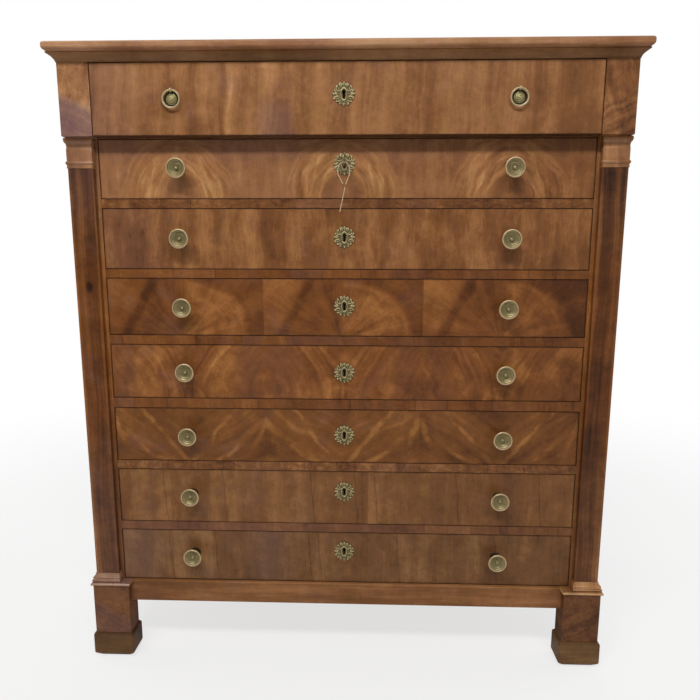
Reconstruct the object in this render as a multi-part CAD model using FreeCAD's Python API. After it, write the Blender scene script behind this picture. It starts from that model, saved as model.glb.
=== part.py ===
"""Tall walnut chest with a projecting frieze drawer over seven plain drawers.

Millimetres, +Z up, the front faces -Y. The origin is on the floor, under the middle of the top board.
Drawer 1 is the frieze drawer and drawer 8 the lowest one.
"""
import FreeCAD, Part
import math
import os

# ---------------------------------------------------------------- driving dimensions
# case
case_width = 1062.0
top_side_overhang = 15.0
top_depth = 540.0
top_thickness = 16.0
top_edge_radius = 6.0
face_setback = 50.0             # from the top's front edge back to the faces of drawers 2 to 8
side_thickness = 18.0
back_thickness = 12.0
back_board_count = 4
base_height = 172.0             # floor to the bottom of the lowest opening
base_underside = 125.0          # floor to the underside of sides, base rail and back
front_post_width = 56.0
frieze_block_return = 3.0       # frieze block past the inner side of the front post
opening_1_height = 113.0
opening_2_height = 112.5
opening_3_height = 118.0
opening_4_height = 115.0
opening_5_height = 112.0
opening_6_height = 114.0
opening_7_height = 117.0
opening_8_height = 114.0
top_rail_height = 15.0
rail_1_height = 17.5            # rail under drawer 1
rail_2_height = 17.0
rail_3_height = 17.0
rail_4_height = 18.0
rail_5_height = 20.0
rail_6_height = 18.0
rail_7_height = 18.0
rail_depth = 60.0
front_post_depth = 50.0
rear_post_size = 50.0
tenon_length = 15.0
tenon_depth = 30.0
tenon_shoulder = 3.0
tenon_clearance = 0.2

# ornament
frieze_projection = 27.0
post_reveal = 7.0               # front post left bare between the pilaster and the drawers
pilaster_projection = 11.0
capital_height = 56.0
capital_spread = 4.0            # furthest that the capital stands out of the shaft
ovolo_height = 9.5
ovolo_bulge = 1.2
cavetto_height = 11.0
cavetto_hollow = 0.8
neck_lift = 0.6                 # neck of the capital over the shaft
astragal_height = 5.5
astragal_bulge = 1.0
capital_fillet_height = 4.0
capital_fillet_lift = 1.0
moulding_step = 1.0             # small steps between two members of a moulding
base_moulding_height = 18.0
base_moulding_spread = 10.0
base_fillet_height = 3.5
base_fillet_lift = 1.5
base_slope_height = 1.5
torus_height = 5.0
torus_bulge = 2.0
torus_foot_inset = 6.0          # inwards from the widest part of the base
bead_height = 4.5
bead_bulge = 1.6
inner_return_share = 0.5        # mouldings spread less on the side of the drawers
cornice_height = 15.0
cornice_setback = 2.0           # from the top's side edge to the moulding's widest point
cornice_foot = 1.0              # moulding's narrow end past the frieze and the sides
cornice_fillet = 2.0
cornice_foot_fillet = 1.5
cornice_hollow = 1.6            # depth of the cove's arc
plinth_projection = 20.0
plinth_return = 15.0            # plinth block past the inner side of the front post
plinth_overhang = 5.0           # plinth block past the side of the case
plinth_plate_thickness = 6.0
plinth_plate_lip = 4.0
plinth_plate_chamfer = 1.8
plinth_plate_drop = 0.5         # plate's top below the bottom of the lowest opening
shoe_height = 56.0
shoe_lip = 5.0
shoe_top_bevel = 3.0
shoe_foot_bevel = 10.0
base_rail_projection = 6.0
base_rail_depth = 30.0
base_rail_drop = 1.0            # rail's top below the bottom of the lowest opening
base_rail_edge_radius = 1.5
bottom_board_thickness = 12.0
bottom_board_lift = 2.0

# drawers
front_thickness = 22.0
frieze_front_thickness = 26.0
front_side_gap = 1.5
front_end_gap = 1.2
box_side_thickness = 12.0
box_back_thickness = 10.0
box_bottom_thickness = 7.0
box_bottom_lift = 8.0
box_headroom = 5.0
box_back_clearance = 8.0
groove_depth = 5.0
groove_clearance = 0.1
tail_length = 14.0
tail_width = 24.0
tail_slope = 1 / 6
tails_per_corner = 3
run_clearance = 0.3
runner_width = 20.0             # part of the runner under the drawer's side
runner_thickness = 15.0
guide_height = 14.0
drawer_travel = 380.0

# turned knobs, ring pulls
handle_inset = 156.5            # from the end of a drawer's opening to the handle
upper_handle_drop = 1.0         # handles of drawers 1 and 2, under the middle of the front
middle_handle_raise = 2.0       # handles of drawers 5 and 6, over the middle of the front
lower_handle_raise = 6.0        # handles of drawers 7 and 8, over the middle of the front
knob_radius = 19.0
knob_projection = 27.0
knob_neck_radius = 6.5
knob_foot_radius = 11.0
knob_foot_height = 6.0
knob_head_thickness = 8.0
knob_rim_width = 6.0
knob_dish_depth = 3.2
knob_boss_radius = 4.0
shank_radius = 3.0
shank_clearance = 0.08
nut_width = 10.0
nut_thickness = 5.0
ring_radius = 15.6              # to the middle of the ring's wire
ring_wire_radius = 1.75
ring_stand_off = 6.2            # wire's middle to the drawer face
ring_eye_length = 4.0
ring_eye_wall = 1.6
ring_eye_clearance = 0.25
ring_swing = 100.0
pull_plate_radius = 14.5
pull_plate_thickness = 1.5
pull_dome_radius = 10.2
pull_dome_height = 6.5

# locks, escutcheons and key
key_1_drop = 53.5               # key pin of drawer 1 under the front's top edge
key_2_drop = 42.5
key_3_drop = 50.5
key_4_drop = 49.5
key_5_drop = 50.5
key_6_drop = 49.5
key_7_drop = 39.5
key_8_drop = 37.5
lock_width = 64.0
lock_depth = 15.0
lock_wall = 1.5
lock_foot = 16.0                # case below the key pin
selvedge_overhang = 4.0
selvedge_thickness = 2.0
bolt_width = 26.0
bolt_thickness = 4.0
bolt_inset = 7.0                # from the back of the front to the middle of the bolt
bolt_side_clearance = 0.4
bolt_foot = 13.0
bolt_throw = 9.0
bolt_sink = 0.5
mortise_margin = 2.0
drill_pin_radius = 1.5
pin_clearance = 0.05
pin_slot_clearance = 0.8
keyhole_radius = 3.8
keyhole_slot = 3.6
keyhole_length = 12.0
escutcheon_radius = 21.5
escutcheon_lobes = 10
escutcheon_lobe_depth = 1.6
escutcheon_thickness = 1.6
escutcheon_drop = 3.5           # middle of the plate under the key pin
key_stem_radius = 3.0
key_stem_reach = 22.0           # from the drawer face to the bow
key_bow_radius = 11.5
key_bow_hole_radius = 7.0
key_bow_thickness = 3.2
key_bit_length = 8.0
key_bit_thickness = 2.2
key_bit_width = 3.8
key_bore_past_pin = 3.0         # how much deeper the key's bore is than the pin reaches
key_collar_lip = 1.2
key_collar_length = 2.5

# string on the key: points of its route as (x, height above the floor)
string_diameter = 2.0
string_points = [
    (-1.6, 995.0),
    (-5.6, 1003.0),
    (-11.4, 1012.5),
    (-11.0, 1024.5),
    (-5.2, 1033.7),
    (5.0, 1033.9),
    (10.8, 1024.6),
    (11.4, 1012.5),
    (6.2, 1002.0),
    (1.8, 987.5),
    (-3.2, 962.0),
    (-7.4, 944.0),
]

# ---------------------------------------------------------------- worked-out places
opening_heights = {
    1: opening_1_height, 2: opening_2_height, 3: opening_3_height, 4: opening_4_height,
    5: opening_5_height, 6: opening_6_height, 7: opening_7_height, 8: opening_8_height,
}
rail_heights = {
    1: rail_1_height, 2: rail_2_height, 3: rail_3_height, 4: rail_4_height,
    5: rail_5_height, 6: rail_6_height, 7: rail_7_height,
}
handle_raise = {
    1: -upper_handle_drop, 2: -upper_handle_drop, 3: 0.0, 4: 0.0,
    5: middle_handle_raise, 6: middle_handle_raise, 7: lower_handle_raise, 8: lower_handle_raise,
}
key_drop = {
    1: key_1_drop, 2: key_2_drop, 3: key_3_drop, 4: key_4_drop,
    5: key_5_drop, 6: key_6_drop, 7: key_7_drop, 8: key_8_drop,
}
drawers = sorted(opening_heights)
top_drawer = drawers[0]
keyed_drawer = drawers[1]
half_case = case_width / 2
half_opening = half_case - front_post_width
half_frieze_opening = half_opening - frieze_block_return
handle_x = half_opening - handle_inset
half_top = half_case + top_side_overhang
front_edge = -top_depth / 2
back_edge = top_depth / 2
drawer_face = front_edge + face_setback
frieze_face = drawer_face - frieze_projection
plinth_face = drawer_face - plinth_projection
base_rail_front = drawer_face - base_rail_projection
plinth_back = base_rail_front + base_rail_depth
post_back = drawer_face + front_post_depth
rail_back = drawer_face + rail_depth
pilaster_face = drawer_face - pilaster_projection
pilaster_inner = half_opening + post_reveal
plinth_outer = half_case + plinth_overhang
plinth_inner = half_opening - plinth_return
plate_top = base_height - plinth_plate_drop
plinth_top = plate_top - plinth_plate_thickness
shaft_bottom = plate_top + base_moulding_height
rear_post_inner = half_case - rear_post_size
rear_post_front = back_edge - rear_post_size
side_inner = half_case - side_thickness

opening_floor = {}
opening_top = {}
level = base_height
for n in reversed(drawers):
    opening_floor[n] = level
    opening_top[n] = level + opening_heights[n]
    level = opening_top[n] + rail_heights.get(n - 1, top_rail_height)
case_top = level
overall_height = case_top + top_thickness
capital_top = opening_top[top_drawer + 1]
shaft_top = capital_top - capital_height

reach = 2000.0                  # past every face, for cutting tools and prisms
turned_facets = 12              # flats round knobs, shanks and bores
small_facets = 8                # flats round drill pins and keyholes
ring_facets = 16
wire_facets = 6
lobe_facets = 2
string_facets = 4


# ---------------------------------------------------------------- helpers
def vec(x, y, z):
    return FreeCAD.Vector(x, y, z)


def box(x0, x1, y0, y1, z0, z1):
    return Part.makeBox(x1 - x0, y1 - y0, z1 - z0, vec(x0, y0, z0))


def pair(shape):
    """A piece and its mirror image across the middle of the chest."""
    return [shape, shape.mirror(vec(0, 0, 0), vec(1, 0, 0))]


def prism(corners, direction):
    return Part.Face(Part.makePolygon(corners + corners[:1])).extrude(direction)


def curve(points, place):
    """Edges through (offset, height, bulge) points; bulge is the rise of the arc to the next point."""
    edges = []
    for (a, h, bulge), (b, k, _) in zip(points, points[1:]):
        start = place(a, h)
        end = place(b, k)
        if bulge:
            run = math.hypot(b - a, k - h)
            middle = place((a + b) / 2 + bulge * (h - k) / run, (h + k) / 2 + bulge * (b - a) / run)
            edges.append(Part.Arc(start, middle, end).toShape())
        else:
            edges.append(Part.LineSegment(start, end).toShape())
    return edges


def profile_prism(points, place, back_offset, direction):
    """A moulding's profile, closed at back_offset behind it, as a long bar."""
    edges = curve(points, place)
    first, top, _ = points[0]
    last, foot, _ = points[-1]
    closing = [(last, foot, 0), (back_offset, foot, 0), (back_offset, top, 0), (first, top, 0)]
    edges += curve(closing, place)
    return Part.Face(Part.Wire(edges)).extrude(direction)


def moulded_block(points, inner, outer, face, back):
    """A block moulded on its front, its outer side and, less deep, its inner side."""
    share = inner_return_share
    front = profile_prism(points, lambda a, h: vec(0, face - a, h), face - back, vec(reach, 0, 0))
    side = profile_prism(points, lambda a, h: vec(outer + a, -reach / 2, h), -reach / 2, vec(0, reach, 0))
    return_bar = profile_prism(
        points, lambda a, h: vec(inner - a * share, -reach / 2, h), -reach / 2, vec(0, reach, 0)
    )
    return front.common(side).common(return_bar)


def facet_ring(radius, x, y, z, count):
    """Corners of a turned piece's section at y, all at the radius."""
    corners = []
    for i in range(count):
        angle = 2 * math.pi * (i + 0.5) / count
        corners.append(vec(x + radius * math.cos(angle), y, z + radius * math.sin(angle)))
    return corners


def skin(rings):
    """Four-cornered faces between each ring of corners and the next."""
    faces = []
    for ring, after in zip(rings, rings[1:]):
        for i, corner in enumerate(ring):
            j = (i + 1) % len(ring)
            faces.append(Part.Face(Part.makePolygon([corner, ring[j], after[j], after[i], corner])))
    return faces


def turned(points, x, y, z, count=turned_facets):
    """A lathe-turned solid with flats, along -Y from (x, y, z); points are (radius, projection)."""
    rings = [facet_ring(radius, x, y - out, z, count) for radius, out in points]
    ends = [Part.Face(Part.makePolygon(ring + ring[:1])) for ring in (rings[0], rings[-1])]
    return Part.Solid(Part.Shell(skin(rings) + ends))


def round_bar(radius, x, z, y0, y1, count=turned_facets):
    """A round bar along Y, with the turned pieces' flats."""
    return turned([(radius, 0), (radius, y1 - y0)], x, y1, z, count)


def save(name, solids):
    shape = solids[0] if len(solids) == 1 else Part.makeCompound(solids)
    for solid in shape.Solids:
        if not solid.isValid() or solid.Volume <= 0:
            raise ValueError(name + " has a bad solid")
    shape.exportStep("parts/" + name + ".step")
    print(name, len(shape.Solids), "solids", round(shape.Volume / 1000, 1), "cm3")


# ---------------------------------------------------------------- case
def rail_levels():
    """Bottom and top of each rail that has a drawer under it, keyed by that drawer."""
    levels = {}
    for n in drawers:
        top = case_top if n == top_drawer else opening_floor[n - 1]
        levels[n] = (opening_top[n], top)
    return levels


def rail_tenon(bottom, top, clearance):
    middle = (drawer_face + rail_back) / 2
    half = tenon_depth / 2 + clearance
    low = bottom + tenon_shoulder - clearance
    high = top - tenon_shoulder + clearance
    reach_x = half_opening + tenon_length + clearance
    return box(-reach_x, reach_x, middle - half, middle + half, low, high)


def lock_y(n):
    """Back face of drawer n's front, which the lock lies flush with."""
    if n == top_drawer:
        return frieze_face + frieze_front_thickness - 1.0
    return drawer_face + front_thickness


def bolt_mortise(n, floor):
    middle = lock_y(n) - bolt_inset
    half_y = bolt_thickness / 2 + mortise_margin
    half_x = bolt_width / 2 + mortise_margin
    roof = floor + bolt_throw + mortise_margin
    return box(-half_x, half_x, middle - half_y, middle + half_y, floor, roof)


def drawer_rails():
    rails = []
    for n, (bottom, top) in rail_levels().items():
        rail = box(-half_opening, half_opening, drawer_face, rail_back, bottom, top)
        if n == top_drawer:
            ledge = box(-half_frieze_opening, half_frieze_opening, frieze_face, drawer_face, bottom, top)
            rail = rail.fuse(ledge)
        rail = rail.fuse(rail_tenon(bottom, top, 0)).cut(bolt_mortise(n, bottom))
        rails.append(rail.removeSplitter())
    return rails


def corner_posts():
    front = box(half_opening, half_case, drawer_face, post_back, plate_top, case_top)
    heel = box(half_opening, half_case, plinth_back, post_back, base_underside, plate_top)
    front = front.fuse(heel).removeSplitter()
    for bottom, top in rail_levels().values():
        front = front.cut(rail_tenon(bottom, top, tenon_clearance))
    rear = box(rear_post_inner, half_case, rear_post_front, back_edge, 0, case_top)
    return pair(front) + pair(rear)


def back_boards():
    width = 2 * rear_post_inner / back_board_count
    boards = []
    for i in range(back_board_count):
        left = -rear_post_inner + i * width
        front = back_edge - back_thickness
        boards.append(box(left, left + width, front, back_edge, base_underside, case_top))
    return boards


def top_board():
    board = box(-half_top, half_top, front_edge, back_edge, case_top, overall_height)
    edges = []
    for edge in board.Edges:
        centre = edge.BoundBox.Center
        at_front = abs(centre.y - front_edge) < 1
        at_side = abs(abs(centre.x) - half_top) < 1
        if (at_front or at_side) and edge.BoundBox.ZLength < 1:
            edges.append(edge)
    return board.makeFillet(top_edge_radius, edges)


def cornice():
    spread = top_side_overhang - cornice_setback
    low = case_top - cornice_height
    points = [
        (spread, case_top, 0),
        (spread, case_top - cornice_fillet, -cornice_hollow),
        (cornice_foot, low + cornice_foot_fillet, 0),
        (cornice_foot, low, 0),
    ]
    bar = profile_prism(points, lambda a, h: vec(-reach / 2, frieze_face - a, h), 0, vec(reach, 0, 0))
    side_bar = profile_prism(points, lambda a, h: vec(half_case + a, -reach / 2, h), 0, vec(0, reach, 0))
    tip = 2 * spread
    front_plan = [
        vec(-half_case, frieze_face, low),
        vec(half_case, frieze_face, low),
        vec(half_case + tip, frieze_face - tip, low),
        vec(-half_case - tip, frieze_face - tip, low),
    ]
    side_plan = [
        vec(half_case, frieze_face, low),
        vec(half_case + tip, frieze_face - tip, low),
        vec(half_case + tip, back_edge, low),
        vec(half_case, back_edge, low),
    ]
    up = vec(0, 0, cornice_height)
    return [bar.common(prism(front_plan, up))] + pair(side_bar.common(prism(side_plan, up)))


def frieze_block():
    return box(half_frieze_opening, half_case, frieze_face, drawer_face, capital_top, case_top)


def capital():
    """Ovolo, cavetto, plain neck, astragal and fillet, from the top down."""
    spread = capital_spread
    step = moulding_step
    ovolo_foot = capital_top - ovolo_height
    fillet_top = shaft_top + capital_fillet_height
    astragal_foot = fillet_top + 3 * step
    points = [
        (spread - step, capital_top, ovolo_bulge),
        (spread - 2 * step, ovolo_foot, 0),
        (spread - 3 * step, ovolo_foot - step, -cavetto_hollow),
        (neck_lift, ovolo_foot - step - cavetto_height, 0),
        (neck_lift, astragal_foot + astragal_height + step, 0),
        (neck_lift + step, astragal_foot + astragal_height, astragal_bulge),
        (neck_lift + step, astragal_foot, 0),
        (neck_lift, astragal_foot - step, 0),
        (neck_lift, fillet_top, 0),
        (capital_fillet_lift, fillet_top, 0),
        (capital_fillet_lift, shaft_top, 0),
    ]
    return moulded_block(points, pilaster_inner, half_case, pilaster_face, drawer_face)


def pilaster_base():
    """Fillet, torus and bead on a moulded plate that caps the plinth block."""
    spread = base_moulding_spread
    step = moulding_step
    fillet_foot = shaft_bottom - base_fillet_height
    torus_top = fillet_foot - base_slope_height - step
    torus_foot = torus_top - torus_height
    bead_foot = torus_foot - step - bead_height
    torus_out = spread - torus_foot_inset
    points = [
        (base_fillet_lift, shaft_bottom, 0),
        (base_fillet_lift, fillet_foot, 0),
        (base_fillet_lift + 2 * step, torus_top + step, 0),
        (base_fillet_lift + 2 * step, torus_top, torus_bulge),
        (torus_out, torus_foot, 0),
        (torus_out + step, torus_foot - step, bead_bulge),
        (torus_out + 3 * step, bead_foot, 0),
        (torus_out + 2 * step, bead_foot - step, 0),
        (torus_out + 2 * step, plate_top, 0),
    ]
    moulding = moulded_block(points, pilaster_inner, half_case, pilaster_face, drawer_face)
    lip = plinth_plate_lip
    plate = box(
        plinth_inner - lip, plinth_outer + lip, plinth_face - lip, plinth_back, plinth_top, plate_top
    )
    rounded = [e for e in plate.Edges if abs(e.BoundBox.Center.z - (plinth_top + plate_top) / 2) > 1
               and e.BoundBox.Center.y < plinth_back - 1]
    return plate.makeChamfer(plinth_plate_chamfer, rounded).fuse(moulding).removeSplitter()


def plinth_block():
    block = box(plinth_inner, plinth_outer, plinth_face, plinth_back, shoe_height, plinth_top)
    return block.cut(base_rail_tenon(tenon_clearance))


def shoe():
    """Wider block under the plinth, bevelled along its top and round its foot."""
    lip = shoe_lip
    block = box(plinth_inner - lip, plinth_outer + lip, plinth_face - lip, plinth_back + lip, 0, shoe_height)
    top_edges = [e for e in block.Edges if e.BoundBox.ZMin > shoe_height - 1]
    block = block.makeChamfer(shoe_top_bevel, top_edges)
    foot_edges = [e for e in block.Edges if e.BoundBox.ZMax < 1]
    return block.makeChamfer(shoe_foot_bevel, foot_edges)


def base_rail_tenon(clearance):
    middle = base_rail_front + base_rail_depth / 2
    half = tenon_depth / 4 + clearance
    low = base_underside + tenon_shoulder - clearance
    high = plinth_top - tenon_shoulder + clearance
    reach_x = plinth_inner + tenon_length + clearance
    return box(-reach_x, reach_x, middle - half, middle + half, low, high)


def base_rail():
    face = base_rail_front
    high = base_height - base_rail_drop
    rail = box(-plinth_inner, plinth_inner, face, plinth_back, base_underside, high)
    front_edge_on_top = [e for e in rail.Edges if e.BoundBox.ZMin > high - 1 and e.BoundBox.YMax < face + 1]
    rail = rail.makeFillet(base_rail_edge_radius, front_edge_on_top).fuse(base_rail_tenon(0))
    notch = box(plinth_inner - plinth_plate_lip, plinth_outer, face - 1, plinth_back + 1, plinth_top, high + 1)
    for end in pair(notch):
        rail = rail.cut(end)
    return rail.removeSplitter()


def bottom_board():
    low = base_underside + bottom_board_lift
    high = low + bottom_board_thickness
    board = box(-side_inner, side_inner, plinth_back, back_edge - back_thickness, low, high)
    for heel in pair(box(half_opening, half_case, plinth_back, post_back, low - 1, high + 1)):
        board = board.cut(heel)
    for post in pair(box(rear_post_inner, half_case, rear_post_front, back_edge, low - 1, high + 1)):
        board = board.cut(post)
    return board


def drawer_runners():
    """One runner with its rebated guide for each side of each drawer."""
    runners = []
    for n in drawers:
        floor = opening_floor[n]
        half = half_frieze_opening if n == top_drawer else half_opening
        left = half_opening - runner_width
        foot = box(left, side_inner, rail_back, rear_post_front, floor - runner_thickness, floor)
        guide = box(half, side_inner, rail_back, rear_post_front, floor, floor + guide_height)
        runners += pair(foot.fuse(guide).removeSplitter())
    return runners


# ---------------------------------------------------------------- drawers
class Drawer:
    """Places that the pieces of one drawer share."""

    def __init__(self, n):
        self.n = n
        frieze = n == top_drawer
        self.half = (half_frieze_opening if frieze else half_opening) - front_side_gap
        self.face = frieze_face if frieze else drawer_face
        self.front_back = lock_y(n)
        self.front_low = (capital_top if frieze else opening_floor[n]) + front_end_gap
        self.front_high = opening_top[n] - front_end_gap
        self.low = opening_floor[n] + run_clearance
        self.high = opening_top[n] - box_headroom
        self.end = back_edge - back_thickness - box_back_clearance
        self.inner = self.half - box_side_thickness
        self.handle_z = (self.front_low + self.front_high) / 2 + handle_raise[n]
        self.key_z = self.front_high - key_drop[n]
        self.panel_low = self.low + box_bottom_lift
        self.panel_high = self.panel_low + box_bottom_thickness

    def tail_prisms(self):
        """Dovetails of the right-hand side board, in the back of the front."""
        pitch = (self.high - self.low) / tails_per_corner
        shapes = []
        for i in range(tails_per_corner):
            middle = self.low + (i + 0.5) * pitch
            narrow = tail_width / 2
            wide = narrow + tail_length * tail_slope
            corners = [
                vec(self.inner, self.front_back, middle - narrow),
                vec(self.inner, self.front_back - tail_length, middle - wide),
                vec(self.inner, self.front_back - tail_length, middle + wide),
                vec(self.inner, self.front_back, middle + narrow),
            ]
            shapes.append(prism(corners, vec(box_side_thickness, 0, 0)))
        return shapes

    def groove(self):
        """Space for the bottom panel in the front and the sides, open at the back."""
        half = self.inner + groove_depth
        low = self.panel_low - groove_clearance
        high = self.panel_high + groove_clearance
        return box(-half, half, self.front_back - groove_depth, self.end + 1, low, high)


def lock_recess(d):
    """Space that the lock's case and selvedge take in the drawer front."""
    half = lock_width / 2
    front = d.front_back - lock_depth
    case = box(-half, half, front, d.front_back, d.key_z - lock_foot, d.front_high)
    wide = half + selvedge_overhang
    return case.fuse(box(-wide, wide, front, d.front_back, d.front_high - selvedge_thickness, d.front_high))


def keyhole(d, y0, y1):
    hole = round_bar(keyhole_radius, 0, d.key_z, y0, y1, small_facets)
    half = keyhole_slot / 2
    return hole.fuse(box(-half, half, y0, y1, d.key_z - keyhole_length, d.key_z))


def drawer_front(d):
    front = box(-d.half, d.half, d.face, d.front_back, d.front_low, d.front_high)
    for tail in d.tail_prisms():
        for socket in pair(tail):
            front = front.cut(socket)
    front = front.cut(d.groove()).cut(lock_recess(d)).cut(keyhole(d, d.face - 1, d.front_back))
    for x in (-handle_x, handle_x):
        hole = round_bar(shank_radius + shank_clearance, x, d.handle_z, d.face - 1, d.front_back + 1)
        front = front.cut(hole)
    return [front.removeSplitter()]


def drawer_box(d):
    side = box(d.inner, d.half, d.front_back, d.end, d.low, d.high)
    for tail in d.tail_prisms():
        side = side.fuse(tail)
    side = side.removeSplitter().cut(d.groove())
    back = box(-d.inner, d.inner, d.end - box_back_thickness, d.end, d.panel_high, d.high)
    half = d.inner + groove_depth - groove_clearance
    panel_front = d.front_back - groove_depth + groove_clearance
    bottom = box(-half, half, panel_front, d.end, d.panel_low, d.panel_high)
    return pair(side) + [back, bottom]


def nut(x, y, z):
    """Square nut on the inside, closed over the end of a shank."""
    half = nut_width / 2
    return box(x - half, x + half, y, y + nut_thickness, z - half, z + half)


def shank_points(d):
    """Start of a knob's or pull plate's profile: the shank through the drawer front."""
    return [(shank_radius, d.face - d.front_back), (shank_radius, 0)]


def knobs(d):
    """Turned knobs: spreading foot, waisted neck, and a dished face with a raised rim and a boss."""
    rim = knob_radius
    out = knob_projection
    points = shank_points(d) + [
        (knob_foot_radius, 0),
        (knob_neck_radius, knob_foot_height),
        (rim - knob_rim_width / 3, out - knob_head_thickness),
        (rim, out - knob_head_thickness / 2),
        (rim - knob_rim_width / 2, out),
        (rim - knob_rim_width, out - knob_dish_depth),
        (knob_boss_radius, out - knob_dish_depth / 2),
    ]
    solids = []
    for x in (-handle_x, handle_x):
        solids.append(turned(points, x, d.face, d.handle_z))
        solids.append(nut(x, d.front_back, d.handle_z))
    return solids


def ring_pull_plates(d):
    """Back plates of the two ring pulls: disc, dome, and an eye that the ring hangs in."""
    points = shank_points(d) + [
        (pull_plate_radius, 0),
        (pull_plate_radius, pull_plate_thickness),
        (pull_dome_radius, pull_plate_thickness),
        (pull_dome_radius * 0.85, pull_dome_height * 0.7),
        (pull_dome_radius * 0.4, pull_dome_height),
    ]
    eye_z = d.handle_z + ring_radius
    eye_y = d.face - ring_stand_off
    outer = ring_wire_radius + ring_eye_clearance + ring_eye_wall
    bore = ring_wire_radius + ring_eye_clearance
    half = ring_eye_length / 2
    across = vec(1, 0, 0)
    solids = []
    for x in (-handle_x, handle_x):
        plate = turned(points, x, d.face, d.handle_z)
        eye = box(x - half, x + half, eye_y - outer, d.face, eye_z - outer, eye_z + outer)
        front_edges = [e for e in eye.Edges if e.BoundBox.YMax < eye_y and e.BoundBox.XLength > half]
        eye = eye.makeChamfer(outer * 0.55, front_edges)
        hole = Part.makeCylinder(bore, ring_eye_length + 2, vec(x - half - 1, eye_y, eye_z), across)
        solids.append(plate.fuse(eye).removeSplitter().cut(hole))
        solids.append(nut(x, d.front_back, d.handle_z))
    return solids


def pull_ring(d, x):
    """Closed ring of wire, which hangs in the plate's eye by its top."""
    y = d.face - ring_stand_off
    loops = []
    for i in range(ring_facets):
        around = 2 * math.pi * (i + 0.5) / ring_facets
        loop = []
        for j in range(wire_facets):
            turn = 2 * math.pi * (j + 0.5) / wire_facets
            radius = ring_radius + ring_wire_radius * math.cos(turn)
            loop.append(vec(x + radius * math.sin(around), y + ring_wire_radius * math.sin(turn),
                            d.handle_z + radius * math.cos(around)))
        loops.append(loop)
    return Part.Solid(Part.Shell(skin(loops + loops[:1])))


def escutcheon(d):
    """Thin cast plate with a scalloped edge and the keyhole through it."""
    front = d.face - escutcheon_thickness
    middle = d.key_z - escutcheon_drop
    corners = []
    count = escutcheon_lobes * lobe_facets
    for i in range(count):
        angle = 2 * math.pi * i / count
        crest = abs(math.sin(angle * escutcheon_lobes / 2))
        radius = escutcheon_radius - escutcheon_lobe_depth * (1 - crest)
        corners.append(vec(radius * math.sin(angle), front, middle + radius * math.cos(angle)))
    plate = prism(corners, vec(0, escutcheon_thickness, 0))
    return [plate.cut(keyhole(d, front - 1, d.face + 1))]


def lock_bolt(d):
    """Bolt plate with a slot round the drill pin, drawn back just under the selvedge."""
    half = bolt_width / 2
    middle = d.front_back - bolt_inset
    bolt = box(
        -half, half, middle - bolt_thickness / 2, middle + bolt_thickness / 2,
        d.key_z - bolt_foot, d.front_high - bolt_sink,
    )
    slot = drill_pin_radius + pin_slot_clearance
    return bolt.cut(box(-slot, slot, middle - bolt_thickness, middle + bolt_thickness,
                        d.key_z - slot - bolt_throw, d.key_z + slot))


def lock_case(d):
    """Hollow case let into the front, with its selvedge, drill pin and the bolt's way out on top."""
    wall = lock_wall
    half = lock_width / 2 - wall
    front = d.front_back - lock_depth
    case = lock_recess(d)
    floor = d.key_z - lock_foot + wall
    hollow = box(-half, half, front + wall, d.front_back - wall, floor, d.front_high - 2 * wall)
    middle = d.front_back - bolt_inset
    slot_x = bolt_width / 2 + bolt_side_clearance
    slot_y = bolt_thickness / 2 + bolt_side_clearance
    mouth = box(-slot_x, slot_x, middle - slot_y, middle + slot_y, d.front_high - 10, d.front_high + 1)
    pin = round_bar(drill_pin_radius, 0, d.key_z, front + wall, d.front_back - wall / 2, small_facets)
    case = case.cut(hollow).cut(mouth).cut(keyhole(d, front - 1, front + wall + 0.1))
    return case.fuse(pin).removeSplitter()


def lock(d):
    if d.n == keyed_drawer:
        return [lock_case(d)]
    return [lock_case(d), lock_bolt(d)]


def bow_disc(radius, half_thickness, y, z):
    """Disc standing upright across X, with the turned pieces' flats."""
    corners = []
    for i in range(turned_facets):
        angle = 2 * math.pi * (i + 0.5) / turned_facets
        corners.append(vec(-half_thickness, y + radius * math.cos(angle), z + radius * math.sin(angle)))
    return prism(corners, vec(2 * half_thickness, 0, 0))


def key(d):
    """Barrel key: hollow stem over the drill pin, bit downwards, ring bow upright."""
    bolt_front = d.front_back - bolt_inset - bolt_thickness / 2
    inner_end = bolt_front - run_clearance
    bow_edge = d.face - key_stem_reach
    bow_y = bow_edge - key_bow_radius + 1.0
    stem = round_bar(key_stem_radius, 0, d.key_z, bow_edge - 1, inner_end)
    bore_end = d.front_back - lock_depth + lock_wall - key_bore_past_pin
    bore_radius = drill_pin_radius + pin_clearance
    bore_length = inner_end + 1 - bore_end
    bore = Part.makeCylinder(bore_radius, bore_length, vec(0, bore_end, d.key_z), vec(0, 1, 0))
    half = key_bit_thickness / 2
    bit_low = d.key_z - key_stem_radius - key_bit_length
    bit = box(-half, half, inner_end - key_bit_width, inner_end, bit_low, d.key_z)
    thick = key_bow_thickness / 2
    bow = bow_disc(key_bow_radius, thick, bow_y, d.key_z)
    hole = bow_disc(key_bow_hole_radius, 2 * thick, bow_y, d.key_z)
    collar_radius = key_stem_radius + key_collar_lip
    collar = round_bar(collar_radius, 0, d.key_z, bow_edge, bow_edge + key_collar_length)
    return stem.fuse(bow.cut(hole)).fuse(collar).fuse(bit).cut(bore).cut(hole).removeSplitter()


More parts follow.
